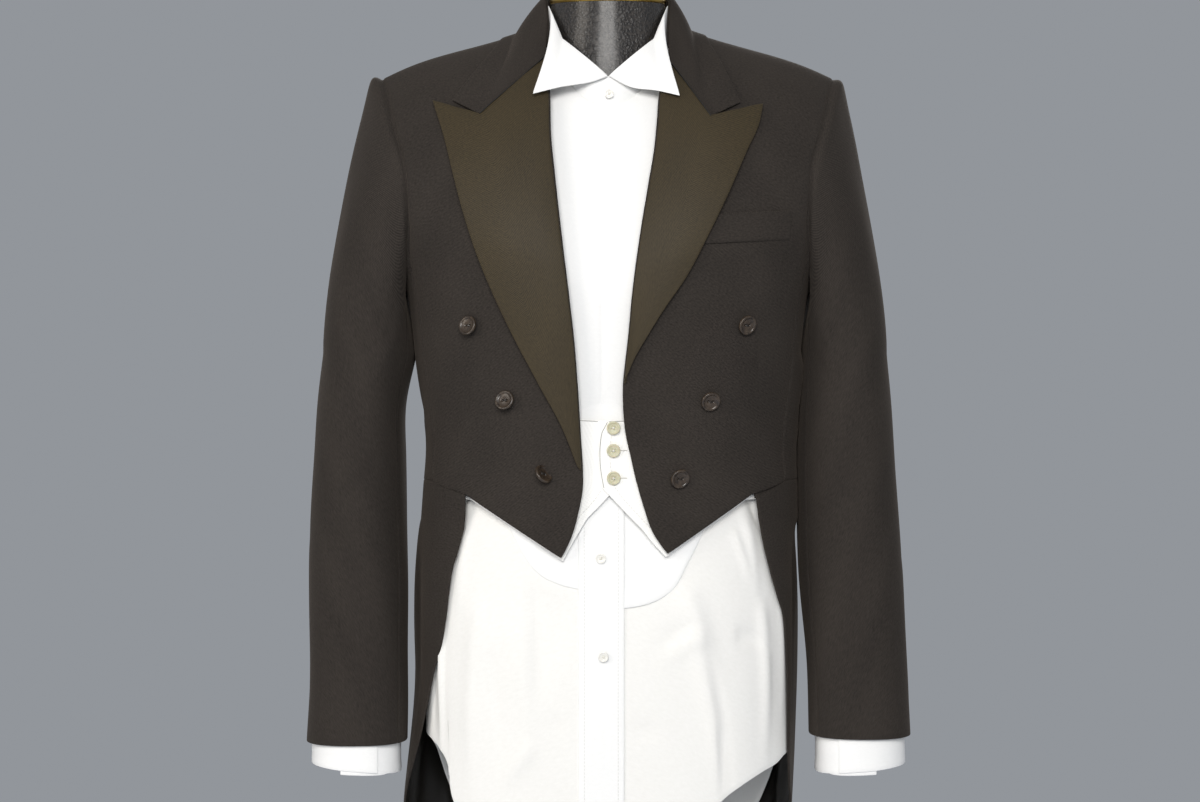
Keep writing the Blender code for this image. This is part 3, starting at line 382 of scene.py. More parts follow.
def build(name, points, groups, materials):
    """One closed mesh from points and groups of (faces, places, material number)."""
    faces = np.concatenate([g[0] for g in groups])
    places = np.concatenate([g[1] for g in groups])
    number = np.concatenate([np.full(len(g[0]), g[2], np.int32) for g in groups])
    mesh = bpy.data.meshes.new(name)
    mesh.from_pydata(points.tolist(), [], faces.tolist())
    layer = mesh.uv_layers.new(name="cut")
    layer.data.foreach_set("uv", places.reshape(-1).astype(np.float32))
    for made in materials:
        mesh.materials.append(made)
    mesh.polygons.foreach_set("material_index", number)
    shape = bmesh.new()
    shape.from_mesh(mesh)
    bmesh.ops.remove_doubles(shape, verts=shape.verts, dist=1e-6)
    bmesh.ops.recalc_face_normals(shape, faces=shape.faces)
    shape.to_mesh(mesh)
    shape.free()
    mesh.shade_smooth()
    piece = bpy.data.objects.new(name, mesh)
    bpy.context.scene.collection.objects.link(piece)
    return piece


def cloth_places(face, loop):
    """Real distances across and down the cloth, in metres, for its weave."""
    wide = np.concatenate([face, face[:, :1]], axis=1) if loop else face
    across = np.linalg.norm(np.diff(wide, axis=1), axis=-1)
    down = np.linalg.norm(np.diff(wide, axis=0), axis=-1)
    uv = np.zeros(wide.shape[:2] + (2,))
    uv[:, 1:, 0] = np.cumsum(across, axis=1)
    uv[:, :, 0] -= uv[:, -1:, 0] / 2
    uv[1:, :, 1] = -np.cumsum(down, axis=0)
    return uv


def shell(name, face, normal, thick, materials, loop=False, seams=""):
    """A closed wall from its outer face, with rounded edges, flatter where it is seamed."""
    rows, cols = face.shape[:2]
    back = face - normal * thick
    uv = cloth_places(face, loop)
    number = np.arange(rows * cols).reshape(rows, cols)
    wide = np.concatenate([number, number[:, :1]], axis=1) if loop else number
    groups = [quads(wide, uv) + (0,)]
    groups.append(quads(wide + rows * cols, uv) + (len(materials) - 1,))
    points = [face.reshape(-1, 3), back.reshape(-1, 3)]
    total = 2 * rows * cols
    last_row, last_col = rows - 1, cols - 1
    i_all, j_all = np.arange(rows), np.arange(cols)
    if loop:
        rims = [(np.zeros(cols, int), j_all), (np.full(cols, last_row), j_all)]
    else:
        rims = [(np.concatenate([np.zeros(cols, int), i_all[1:], np.full(cols - 1, last_row),
                                 i_all[-2:0:-1]]),
                 np.concatenate([j_all, np.full(rows - 1, last_col), j_all[-2::-1],
                                 np.zeros(rows - 2, int)]))]
    for i, j in rims:
        inside = face[np.clip(i, 1, rows - 2), j if loop else np.clip(j, 1, cols - 2)]
        here, n = face[i, j], normal[i, j]
        way = here - inside
        way -= n * np.sum(way * n, axis=-1, keepdims=True)
        way /= np.maximum(np.linalg.norm(way, axis=-1, keepdims=True), 1e-12)
        full = np.full(len(i), 0.5)
        for code, hit in (("t", i == 0), ("b", i == last_row), ("i", j == 0), ("o", j == last_col)):
            if code in seams and not (loop and code in "io"):
                full[hit] = 0.1
        middle = here - n * thick / 2
        ring_numbers = [number[i, j]]
        for turn in (math.pi / 4, math.pi / 2, 3 * math.pi / 4):
            ring = (middle + n * (thick / 2 * math.cos(turn))
                    + way * (full * thick * math.sin(turn))[:, None])
            points.append(ring)
            ring_numbers.append(total + np.arange(len(i)))
            total += len(i)
        ring_numbers.append(number[i, j] + rows * cols)
        strip = np.array(ring_numbers)
        strip = np.concatenate([strip, strip[:, :1]], axis=1)
        at = uv[i, j]
        at = np.concatenate([at, uv[i[:1], -1:][0] if loop else at[:1]])
        groups.append(quads(strip, np.broadcast_to(at, strip.shape + (2,))) + (0,))
    return build(name, np.concatenate(points), groups, materials)


def grid_area(face):
    """Area of a grid of points."""
    a = np.cross(face[1:, :-1] - face[:-1, :-1], face[:-1, 1:] - face[:-1, :-1])
    b = np.cross(face[:-1, 1:] - face[1:, 1:], face[1:, :-1] - face[1:, 1:])
    return (np.linalg.norm(a, axis=-1).sum() + np.linalg.norm(b, axis=-1).sum()) / 2


def sew(piece, nodes):
    """Puts a piece of cloth under the root and hides the model's parts that it replaces."""
    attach(piece, ROOT)
    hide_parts(*nodes)
    return piece


def place(piece, slot, *nodes):
    """Puts a hard piece under the root and hides the model's parts that it replaces, if any are
    given.
    """
    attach(piece, ROOT)
    if nodes:
        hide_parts(*nodes)


def from_edges(face):
    """How far each point lies from the cloth's inner, outer, top and bottom edge."""
    across = np.linalg.norm(np.diff(face, axis=1), axis=-1)
    down = np.linalg.norm(np.diff(face, axis=0), axis=-1)
    from_inner = np.pad(np.cumsum(across, axis=1), ((0, 0), (1, 0)))
    from_top = np.pad(np.cumsum(down, axis=0), ((1, 0), (0, 0)))
    return {"i": from_inner, "o": from_inner[:, -1:] - from_inner,
            "t": from_top, "b": from_top[-1:] - from_top}


def sunk(face, seams, depth, width=3.2 * MM):
    """How far each point of a panel sinks beside its seams."""
    gaps = from_edges(face)
    total = np.zeros(face.shape[:2])
    for code in seams:
        total = np.maximum(total, np.clip(1.0 - gaps[code] / width, 0.0, 1.0) ** 2)
    return total * depth


def tucked(face, depth, width):
    """How far the top of a panel dips under the panel that it is sewn to."""
    return depth * np.clip((width - from_edges(face)["t"]) / (1.6 * MM), 0.0, 1.0)


def hemmed(face, edges, rise, width):
    """A turned hem: the cloth is doubled within a width of the given free edges."""
    gaps = from_edges(face)
    total = np.zeros(face.shape[:2])
    for code in edges:
        total = np.maximum(total, np.clip((width + 0.6 * MM - gaps[code]) / (0.8 * MM), 0.0, 1.0))
    return total * rise


def signed(places, side):
    """Places on the wearer's left as they are, or their mirror image on the right."""
    places = places.copy()
    places[..., 0] *= side
    return places


class Cut:
    """How one kind of panel is sewn: its lift, thickness, finish, seams, creases and waves."""

    def __init__(self, body, out, thick, materials, slot, held, rests_on, groove=1.0 * MM):
        self.body = body
        self.out = out
        self.thick = thick
        self.materials = materials
        self.slot = slot
        self.held = held
        self.rests_on = rests_on
        self.groove = groove

    def panel(self, name, node, places, rows, side=1, seams="", folds=(), wave=0.0, wave_size=0.12,
              seed=1, lift=None, hem=None, tuck=0.0):
        """Sews one panel from its grid of places, folded, waved and closed at its edges."""
        places = signed(evened(self.body, places, rows), side)
        phi, z = places[..., 0], places[..., 1]
        face = self.body.point(phi, z, self.out)
        n = pointing(face, (0.0, SHOULDER_Y if np.mean(z) > 1.3 else 0.0))
        push = creased(phi * ARC, z, folds) - sunk(face, seams, self.groove)
        push = push + wave * ripple(face, wave_size, seed)
        if lift is not None:
            push = push + lift(places)
        if hem:
            push = push + hemmed(face, *hem)
        if tuck:
            push = push - tucked(face, self.thick + 0.5 * MM, tuck)
        face = face + n * push[..., None]
        n = pointing(face, (0.0, 0.0))
        piece = shell(name, face, n, self.thick, self.materials, seams=seams)
        pattern = np.pad(places * METRIC, ((0, 0), (0, 0), (0, 1)))
        width, length, _ = np.ptp(pattern.reshape(-1, 3), axis=0)
        width *= grid_area(face) / grid_area(pattern)
        return sew(piece, [node])


def drape(*rows, arc=ARC):
    """Creases from (degrees, height, degrees, height, width, rise and bend in mm) rows."""
    return [(math.radians(a) * arc, z0, math.radians(b) * arc, z1, w * MM, h * MM, bend * MM)
            for a, z0, b, z1, w, h, bend in rows]


# ---------------------------------------------------------------- materials

def linear(code):
    """An sRGB hex colour as linear red, green and blue."""
    parts = [int(code[i:i + 2], 16) / 255.0 for i in (0, 2, 4)]
    return tuple(p / 12.92 if p <= 0.04045 else ((p + 0.055) / 1.055) ** 2.4 for p in parts)


def add(tree, kind, inputs=None, **settings):
    """Adds a node, sets its options, and gives its inputs a value or a link."""
    made = tree.nodes.new(kind)
    for key, value in settings.items():
        setattr(made, key, value)
    for socket, value in (inputs or {}).items():
        if isinstance(value, bpy.types.NodeSocket):
            tree.links.new(value, made.inputs[socket])
        else:
            made.inputs[socket].default_value = value
    return made


def begin(name, **values):
    """A new material and its shader, with values for the shader's own sockets."""
    made = bpy.data.materials.new(name)
    made.use_nodes = True
    shader = made.node_tree.nodes["Principled BSDF"]
    for socket, value in values.items():
        shader.inputs[socket.replace("_", " ")].default_value = value
    return made, made.node_tree, shader


def band_scale(period):
    """The wave texture's scale for a line every so many metres."""
    return 2 * math.pi / 20.0 / period


def noise(tree, spot, scale, detail, out="Fac", **more):
    """A noise texture's output at a place."""
    return add(tree, "ShaderNodeTexNoise", {"Vector": spot, "Scale": scale, "Detail": detail,
                                            **more}).outputs[out]


def reckoned(tree, how, *parts):
    """What a step of arithmetic gives on sockets and numbers."""
    return add(tree, "ShaderNodeMath", dict(enumerate(parts)), operation=how).outputs[0]


def ranged(tree, value, low, high, start, end):
    """A value moved from the range low to high into the range start to end."""
    return add(tree, "ShaderNodeMapRange", {"Value": value, "From Min": low, "From Max": high,
                                            "To Min": start, "To Max": end}).outputs[0]


def toned(tree, share, low, high):
    """A colour between two sRGB codes, by a share from 0 to 1."""
    ends = {6: linear(low) + (1.0,), 7: linear(high) + (1.0,)}
    return add(tree, "ShaderNodeMix", {0: share, **ends}, data_type="RGBA").outputs[2]


def surfaced(tree, shader, colour, relief, strength, distance):
    """Gives a shader its colour and its surface's relief."""
    bump = add(tree, "ShaderNodeBump", {"Height": relief, "Strength": strength,
                                        "Distance": distance})
    tree.links.new(colour, shader.inputs["Base Color"])
    tree.links.new(bump.outputs["Normal"], shader.inputs["Normal"])


def woven(name, light, dark, thread, depth, slub, twill=None, **values):
    """Cloth from two sets of threads. Colour varies with slubs and with the weave's valleys."""
    made, tree, shader = begin(name, **values)
    cut = add(tree, "ShaderNodeUVMap", uv_map="cut").outputs["UV"]
    if twill is not None:
        turned = add(tree, "ShaderNodeMapping",
                     {"Vector": cut, "Rotation": (0, 0, math.radians(twill))})
        lines = add(tree, "ShaderNodeTexWave", {
            "Vector": turned.outputs["Vector"], "Scale": band_scale(thread), "Distortion": 1.2,
            "Detail": 1.0, "Detail Scale": 0.6}, bands_direction="X").outputs["Fac"]
    else:
        warp, weft = (add(tree, "ShaderNodeTexWave", {
            "Vector": cut, "Scale": band_scale(thread), "Distortion": 0.8, "Detail": 1.0,
            "Detail Scale": 0.4}, bands_direction=way).outputs["Fac"] for way in "XY")
        lines = reckoned(tree, "MULTIPLY", warp, weft)
    long_threads = add(tree, "ShaderNodeMapping", {"Vector": cut, "Scale": (0.55, 1.0, 1.0)})
    slubs = noise(tree, long_threads.outputs["Vector"], 1.0 / slub, 4.0, Roughness=0.65)
    cloudy = noise(tree, cut, 14.0, 3.0)
    part = reckoned(tree, "ADD", ranged(tree, lines, 0.0, 1.0, 0.0, 0.35),
                    ranged(tree, slubs, 0.3, 0.7, 0.0, 0.50))
    share = reckoned(tree, "ADD", part, ranged(tree, cloudy, 0.3, 0.7, 0.0, 0.15))
    relief = reckoned(tree, "ADD", lines, slubs)
    surfaced(tree, shader, toned(tree, share, dark, light), relief, 0.5, depth)
    return made


COAT_LIGHT = "413B36"
COAT_DARK = "12100F"
SATIN_LIGHT = "483D27"
SATIN_DARK = "1E190F"


def barathea():
    # Black worsted barathea, woven and pressed: matt, faintly brown in strong light, with a fine
    # broken twill. Its real twill lines are 0.4 mm apart, drawn at 1.1 mm so that they show.
    return woven("barathea_wool_pressed", COAT_LIGHT, COAT_DARK, 1.1 * MM, 0.16 * MM, 1.5 * MM,
                 twill=58.0, Roughness=0.86, IOR=1.46, Specular_IOR_Level=0.22, Sheen_Weight=0.16,
                 Sheen_Roughness=0.45, Sheen_Tint=linear("A89A8C") + (1.0,))


def satin():
    # Silk satin facing, floats pressed flat: a soft broad highlight and an olive cast. The fine
    # ribs run across the lapel, really 0.15 mm apart and drawn at 2.4 mm so that they show.
    return woven("silk_satin_facing", SATIN_LIGHT, SATIN_DARK, 2.4 * MM, 0.12 * MM, 1.6 * MM,
                 twill=84.0, Roughness=0.62, IOR=1.5, Specular_IOR_Level=0.30, Sheen_Weight=0.10,
                 Sheen_Roughness=0.45, Sheen_Tint=linear("A79B78") + (1.0,))


def lining():
    # Black viscose twill lining, calendered: smoother and shinier than the wool.
    return woven("viscose_lining_twill", "26231F", "141210", 0.8 * MM, 0.02 * MM, 2.0 * MM,
                 twill=45.0, Roughness=0.40, IOR=1.48, Specular_IOR_Level=0.45)


def poplin():
    # White cotton poplin, bleached and ironed: even and matt. Its threads are 0.35 mm apart, drawn
    # at 0.9 mm.
    return woven("cotton_poplin_ironed", "F6F5F2", "ECEBE7", 0.9 * MM, 0.06 * MM, 3.0 * MM,
                 Roughness=0.8, IOR=1.47, Specular_IOR_Level=0.25)


def starched():
    # Starched cotton of the collar, cuffs and shirt front: the same cloth, harder and smoother.
    return woven("cotton_starched", "F8F8F7", "F1F1F0", 0.8 * MM, 0.02 * MM, 2.5 * MM,
                 Roughness=0.55, IOR=1.5, Specular_IOR_Level=0.4)


def marcella():
    """Cotton pique with small raised lozenges 2.4 mm apart."""
    # White marcella: two crossing sets of cords raise small diamonds that catch the light.
    made, tree, shader = begin("cotton_marcella_pique", Roughness=0.8, IOR=1.47,
                               Specular_IOR_Level=0.3, Sheen_Weight=0.08)
    cut = add(tree, "ShaderNodeUVMap", uv_map="cut").outputs["UV"]
    sets = []
    for turn in (52.0, -52.0):
        way = add(tree, "ShaderNodeMapping",
                  {"Vector": cut, "Rotation": (0, 0, math.radians(turn))})
        sets.append(add(tree, "ShaderNodeTexWave", {
            "Vector": way.outputs["Vector"], "Scale": band_scale(2.4 * MM)},
            bands_direction="X").outputs["Fac"])
    raised = reckoned(tree, "MAXIMUM", *sets)
    relief = reckoned(tree, "ADD", raised, noise(tree, cut, 900.0, 2.0))
    surfaced(tree, shader, toned(tree, raised, "F3F2EE", "FCFBF8"), relief, 0.45, 0.12 * MM)
    return made


def mottled(name, light, dark, grain, depth, **values):
    """A hard finish with a fine mottle in its colour and its surface."""
    made, tree, shader = begin(name, **values)
    spot = add(tree, "ShaderNodeTexCoord").outputs["Object"]
    blots = noise(tree, spot, 1.0 / grain, 5.0, Roughness=0.6, Distortion=0.4)
    share = ranged(tree, blots, 0.3, 0.7, 0.0, 1.0)
    surfaced(tree, shader, toned(tree, share, dark, light), blots, 0.3, depth)
    return made


def horn():
    # Black buffalo-horn style button, turned and polished: dark brown streaks under a hard gloss.
    return mottled("horn_button_polished", "4A3D30", "1F1813", 5.0 * MM, 0.01 * MM, Roughness=0.30,
                   IOR=1.55)


def corozo():
    # Cream corozo nut button, turned and tumbled: waxy, slightly uneven cream.
    return mottled("corozo_button_tumbled", "D2CCB2", "BDB597", 3.0 * MM, 0.03 * MM, Roughness=0.42,
                   IOR=1.52, Subsurface_Weight=0.08)


def pearl():
    # White mother-of-pearl style shirt button, polished.
    return mottled("pearl_button_polished", "F4F3EE", "E2E0D8", 2.5 * MM, 0.02 * MM, Roughness=0.25,
                   IOR=1.53, Coat_Weight=0.3, Coat_Roughness=0.1)


def thread(name, code):
    # Mercerised sewing thread, twisted and waxed; the dark cords of it also paint shadow lines at
    # edges.
    return mottled(name, code, code, 0.6 * MM, 0.02 * MM, Roughness=0.6, IOR=1.5)


def leatherette():
    """Embossed vinyl with a pebble grain."""
    # Black leather-look vinyl stretched over the form: pebbles about 2 mm across, glossy tops and
    # duller valleys. The valleys are painted a lighter brown than the tops, as a painted
    # reflection.
    made, tree, shader = begin("vinyl_leatherette_embossed", IOR=1.5, Specular_IOR_Level=0.5,
                               Coat_Weight=0.5, Coat_Roughness=0.22)
    spot = add(tree, "ShaderNodeTexCoord").outputs["Object"]
    bent = noise(tree, spot, 260.0, 2.0, "Color")
    shifted = add(tree, "ShaderNodeMix", {0: 0.0035, 4: spot, 5: bent}, data_type="VECTOR")
    pebble = add(tree, "ShaderNodeTexVoronoi", {"Vector": shifted.outputs[1], "Scale": 370.0,
                                                "Randomness": 0.9},
                                                feature="F1").outputs["Distance"]
    dome = ranged(tree, pebble, 0.1, 0.75, 1.0, 0.0)
    relief = reckoned(tree, "MULTIPLY_ADD", noise(tree, spot, 1400.0, 2.0), 0.25, dome)
    tree.links.new(ranged(tree, dome, 0.0, 1.0, 0.5, 0.26), shader.inputs["Roughness"])
    # painted reflection: the pebbles' valleys are coloured a lighter brown than their dark tops
    surfaced(tree, shader, toned(tree, dome, "2B2622", "141314"), relief, 1.0, 0.9 * MM)
    return made


def brass():
    # Brass trim ring, turned and lightly polished: fine turning lines run round it.
    made, tree, shader = begin("brass_turned", Metallic=1.0, Roughness=0.28)
    spot = add(tree, "ShaderNodeTexCoord").outputs["Object"]
    lines = add(tree, "ShaderNodeTexWave", {"Vector": spot, "Scale": band_scale(0.5 * MM),
                                            "Distortion": 1.5}, bands_direction="Z").outputs["Fac"]
    surfaced(tree, shader, toned(tree, lines, "B08D3E", "D9B560"), lines, 0.2, 0.03 * MM)
    return made


def enamel():
    # Black stoved enamel on steel, sprayed: satin with a light orange-peel.
    return mottled("enamel_steel_sprayed", "242424", "1A1A1A", 5.0 * MM, 0.05 * MM, Roughness=0.34,
                   IOR=1.5, Coat_Weight=0.3, Coat_Roughness=0.2)


STORE = {}


def finish_of(maker, *args):
    """The one material that a maker gives, made the first time it is asked for."""
    key = (maker.__name__,) + args
    if key not in STORE:
        STORE[key] = maker(*args)
    return STORE[key]


# ---------------------------------------------------------------- coat body

# distance from the middle, height: front of the armhole, from the shoulder down
ARMHOLE_FRONT = ((0.2195, 1.399), (0.2155, 1.390), (0.2040, 1.348), (0.1915, 1.306),
                 (0.1880, 1.275), (0.1868, 1.245), (0.1880, 1.215))
ARMHOLE_BACK = ((0.2195, 1.399), (0.2175, 1.395), (0.2140, 1.386), (0.2060, 1.365), (0.1930, 1.325),
                (0.1870, 1.285), (0.1850, 1.250), (0.1880, 1.215))
# distance from the middle, height: roll line, then the front edge down to its point
ROLL = {
    1: ((0.0560, 1.410), (0.0486, 1.374), (0.0463, 1.347), (0.0432, 1.318), (0.0383, 1.289),
        (0.0298, 1.238), (0.0224, 1.182), (0.0188, 1.143), (0.0160, 1.119), (0.0142, 1.101)),
    -1: ((0.0592, 1.413), (0.0558, 1.375), (0.0543, 1.333), (0.0503, 1.294), (0.0435, 1.235),
         (0.0371, 1.182), (0.0325, 1.142), (0.0289, 1.096), (0.0262, 1.051), (0.0244, 1.022)),
}
FRONT_EDGE = {
    1: ((0.0142, 1.083), (0.0170, 1.053), (0.0216, 1.033), (0.0244, 1.020), (0.0327, 0.990),
        (0.0419, 0.964), (0.0548, 0.945)),
    -1: ((0.0244, 1.006), (0.0280, 0.985), (0.0345, 0.961), (0.0437, 0.941)),
}
WAIST_FRONT = (0.1345, 0.999)
WAIST_SIDE_Z = 1.010
BACK_SEAM = ((0.1870, 1.275), (0.1620, 1.215), (0.1250, 1.150), (0.0900, 1.085), (0.0680, 1.040),
             (0.0570, 1.000))
TAIL_SEAM = ((0.0570, 1.000), (0.0600, 0.900), (0.0630, 0.800), (0.0660, 0.700), (0.0720, 0.520),
             (0.0750, 0.400))
# distance from the middle, height: front edge of the tails, down to where it turns to the back
TAIL_EDGE = {
    1: ((0.1390, 0.995), (0.1400, 0.986), (0.1430, 0.967), (0.1515, 0.930), (0.1605, 0.900),
        (0.1680, 0.872)),
    -1: ((0.1350, 0.998), (0.1346, 0.980), (0.1405, 0.950), (0.1480, 0.925), (0.1540, 0.880),
         (0.1655, 0.830)),
}
TAIL_TURN = {1: ((66.0, 0.83), (70.0, 0.76)), -1: ((66.0, 0.80), (70.0, 0.765))}
TAIL_SWEEP = ((84.0, 0.70), (104.0, 0.60), (120.0, 0.50), (128.0, 0.43), (132.0, TAIL_HEM_Z))

NAMES = {1: "left", -1: "right"}
# half of the gap between two panels at a seam
HALF_SEAM = 0.2 * MM
WAIST_TUCK = 6.0 * MM


def eased(line, gap):
    """A seam line moved towards the middle by a gap, so two panels don't touch."""
    line = line.copy()
    line[:, 0] -= gap / ARC
    return line


def tail_front(side):
    """Front edge of a tail, in one smooth line from the waist to the hem."""
    high = np.array(TAIL_EDGE[side])
    high = np.stack([np.degrees(COAT.angle(high[:, 0], high[:, 1])), high[:, 1]], -1)
    return around(np.concatenate([high, TAIL_TURN[side], TAIL_SWEEP]), 120)


# degrees round, height, degrees round, height, width, rise and bend in mm
FOREPART_FOLDS = {
    1: drape((84, 1.13, 84, 0.95, 34, 6.5, 0), (84, 0.97, 84, 0.62, 34, -6.0, 0),
             (34, 1.10, 52, 1.03, 13, 1.0, 4), (44, 1.06, 60, 1.02, 9, -0.9, 3),
             (20, 1.04, 34, 0.99, 12, 0.8, -3), (50, 1.30, 58, 1.19, 14, 1.1, 5),
             (60, 1.27, 55, 1.17, 9, -1.2, -4), (40, 1.24, 44, 1.12, 20, 0.7, 6),
             (45.5, 1.160, 46, 1.060, 4, -0.8, 0), (41, 1.176, 45, 1.172, 4, -0.9, 0)),
    -1: drape((-36, 1.11, -56, 1.03, 12, 1.0, 4), (-48, 1.06, -62, 1.015, 9, -1.0, -3),
              (-24, 1.03, -40, 0.99, 11, 0.8, 3), (-52, 1.29, -60, 1.18, 13, 1.1, -5),
              (-61, 1.26, -56, 1.15, 8, -1.1, 3), (-38, 1.22, -46, 1.10, 18, 0.8, -6),
              (-39, 1.225, -45.5, 1.065, 4, -0.8, 0)),
}
BACK_FOLDS = {
    1: drape((150, 1.07, 128, 1.03, 10, 1.3, 4), (160, 1.05, 138, 1.00, 8, -1.1, -3),
             (122, 1.30, 132, 1.16, 14, 1.4, 6), (118, 1.25, 126, 1.12, 9, -1.3, 5),
             (172, 1.36, 150, 1.31, 16, 0.9, 3), (168, 0.90, 170, 0.52, 16, 2.2, 5),
             (160, 0.80, 158, 0.45, 12, -1.6, -4)),
    -1: drape((-148, 1.08, -126, 1.03, 11, 1.2, -4), (-158, 1.04, -140, 1.00, 8, -1.2, 3),
              (-121, 1.31, -130, 1.17, 15, 1.5, -6), (-117, 1.24, -124, 1.13, 9, -1.2, -4),
              (-170, 1.35, -152, 1.30, 17, 0.8, -3), (-167, 0.86, -169, 0.48, 15, 2.0, -5),
              (-161, 0.78, -157, 0.43, 12, -1.5, 4)),
}
SIDE_FOLDS = {
    1: drape((84, 1.06, 108, 1.02, 9, 1.2, 3), (80, 1.09, 100, 1.05, 8, -0.9, -3),
             (96, 1.16, 92, 1.08, 11, 0.9, 3)),
    -1: drape((-86, 1.07, -110, 1.02, 9, 1.1, -3), (-78, 1.10, -98, 1.05, 8, -1.0, 3),
              (-98, 1.17, -93, 1.09, 11, 0.9, -3)),
}
TAIL_FOLDS = {
    1: drape((92, 0.96, 100, 0.62, 20, 4.2, 6), (80, 0.95, 84, 0.74, 14, -2.6, -4),
             (116, 0.95, 122, 0.50, 18, 3.8, -6), (106, 0.90, 112, 0.56, 12, -3.0, 3),
             (134, 0.90, 138, 0.46, 14, 2.6, 4), (128, 0.84, 132, 0.45, 9, -2.0, 2)),
    -1: drape((-90, 0.97, -97, 0.64, 19, 4.0, -6), (-79, 0.94, -82, 0.76, 13, -2.4, 4),
              (-113, 0.95, -119, 0.48, 19, 4.2, 6), (-103, 0.92, -108, 0.58, 12, -3.1, -3),
              (-135, 0.88, -139, 0.45, 13, 2.4, -4), (-127, 0.86, -131, 0.47, 9, -2.1, -2)),
}


# the panels of one side share their creases and waves, so that the seams between them stay level
COAT_FOLDS = {side: FOREPART_FOLDS[side] + SIDE_FOLDS[side] + BACK_FOLDS[side] + TAIL_FOLDS[side]
              for side in NAMES}
COAT_WAVE = (0.9 * MM, 0.14, 10)


def coat_cut(settings):
    """How the panels of the coat's body are sewn."""
    return Cut(COAT, 0.0, settings.wool_thick, [finish_of(barathea), finish_of(lining)],
               "black_wool", "draped", ["form_torso"], settings.seam_depth)


def forepart_places(side):
    """A forepart's grid of places, from its front edge round to the side seam."""
    tip = crest(COAT, NECK_X, SHOULDER_X)
    neck = crest(COAT, NECK_X, NECK_X - 0.0001)[:1]
    roll = front(COAT, ((NECK_X, COAT.ridge(NECK_X)),) + ROLL[side][:1], 12)
    inner = joined(neck, roll, front(COAT, ROLL[side] + FRONT_EDGE[side], 120))
    hole = front(COAT, ARMHOLE_FRONT, 60)
    under = around(((SIDE_SEAM, 1.19), (SIDE_SEAM, 1.10), (SIDE_SEAM, WAIST_SIDE_Z)), 40)
    outer = eased(joined(hole, under), HALF_SEAM)
    tip[-1] = outer[0]
    bottom = joined(inner[-1:], front(COAT, (FRONT_EDGE[side][-1], WAIST_FRONT), 20)[1:],
                    np.array([outer[-1]]))
    return cut_places(tip, bottom, inner, outer, marks(46, 0.16, end=True))


def coat_body(settings):
    """The foreparts and the side bodies."""
    cut = coat_cut(settings)
    for side, name in NAMES.items():
        cut.panel("wool_forepart_" + name, "forepart_" + name, forepart_places(side),
                  marks(96, 0.46, start=True), side, "to", COAT_FOLDS[side], *COAT_WAVE)

        hole = around(((SIDE_SEAM, 1.213), (78.0, 1.197), (90.0, ARMHOLE_Z)), 30)
        high = rear(COAT, ((0.1935, 1.195), (0.188, 1.215), (0.185, 1.250), BACK_SEAM[0]), 30)
        back_edge = eased(rear(COAT, BACK_SEAM, 80), 0.9 * MM)
        top = joined(hole, high)
        top[-1] = back_edge[0]
        down = around([(SIDE_SEAM, z) for z in (1.213, 1.10, WAIST_SIDE_Z)], 60)
        down[:, 0] += HALF_SEAM / ARC
        top[0] = down[0]
        low = joined(down[-1:], back_edge[-1:])
        places = cut_places(top, low, down, back_edge, marks(30, 0.11, True, True))
        cut.panel("wool_side_body_" + name, "side_body_" + name, places,
                  marks(48, 0.26, True, True), side, "tbio", COAT_FOLDS[side], *COAT_WAVE)


def vent(places):
    """The left back lies over the right below the waist, where the middle seam is left open."""
    phi, z = places[..., 0], places[..., 1]
    low = np.clip((0.985 - z) / 0.02, 0.0, 1.0)
    near = np.clip((phi - math.pi + 0.030 / ARC) / (0.022 / ARC), 0.0, 1.0)
    return 3.0 * MM * low * near * near * (3 - 2 * near)


def coat_backs(settings):
    """The two backs of the coat."""
    cut = coat_cut(settings)
    for side, name in NAMES.items():
        tip = crest(COAT, NECK_X, SHOULDER_X, behind=True)
        nape = rear(COAT, ((NECK_X, COAT.ridge(NECK_X)), (0.066, 1.438), (0.040, 1.431),
                           (0.0, 1.4285)), 30)
        nape[-1, 0] = math.pi - HALF_SEAM / ARC
        heights = np.concatenate([np.linspace(1.4285, 1.0, 50), np.linspace(0.994, 0.986, 5),
                                  np.linspace(0.98, TAIL_HEM_Z, 60)])
        lap = np.clip((0.994 - heights) / 0.008, 0.0, 1.0) * (0.020 if side > 0 else 0.0)
        middle = np.stack([math.pi - HALF_SEAM / ARC + lap / ARC, heights], -1)
        inner = joined(nape, middle)
        hole = rear(COAT, ARMHOLE_BACK[:-2] + BACK_SEAM[:1], 50)
        outer = joined(hole, rear(COAT, BACK_SEAM, 60), rear(COAT, TAIL_SEAM, 60))
        tip[-1] = outer[0]
        low = np.stack([inner[-1], outer[-1]])
        places = cut_places(tip, low, inner, outer, marks(34, 0.12, True, True))
        cut.panel("wool_back_" + name, "back_" + name, places, marks(130, 1.0, True), side, "tio",
                  COAT_FOLDS[side], *COAT_WAVE, vent if side > 0 else None)


def tail_skirts(settings):
    """The tails, from the waist seam down."""
    cut = coat_cut(settings)
    for side, name in NAMES.items():
        edge = tail_front(side)
        edge[0, 1] -= 1.0 * MM
        back_edge = eased(rear(COAT, TAIL_SEAM, 80), 0.1 * MM)
        back_edge[:, 1] -= 1.0 * MM
        back_edge[-1, 1] = TAIL_HEM_Z
        edge[0, 1] += WAIST_TUCK
        back_edge[0, 1] += WAIST_TUCK
        waist = joined(edge[:1], around(((SIDE_SEAM, 1.009), (90.0, 1.009), (120.0, 1.0055)), 20)
                       + (0.0, WAIST_TUCK), back_edge[:1])
        low = np.stack([edge[-1], back_edge[-1]])
        places = cut_places(waist, low, edge, back_edge, marks(60, 0.2, False, True))
        rows = np.union1d(marks(96, 0.60, True), np.linspace(0.004, 0.02, 8))
        cut.panel("wool_tail_" + name, "tail_skirt_" + name, places, rows, side, "o",
                  COAT_FOLDS[side], *COAT_WAVE, tuck=WAIST_TUCK)


# ---------------------------------------------------------------- lapels, collar and pocket

NOTCH = {1: (0.0933, 1.3516), -1: (0.1177, 1.3543)}
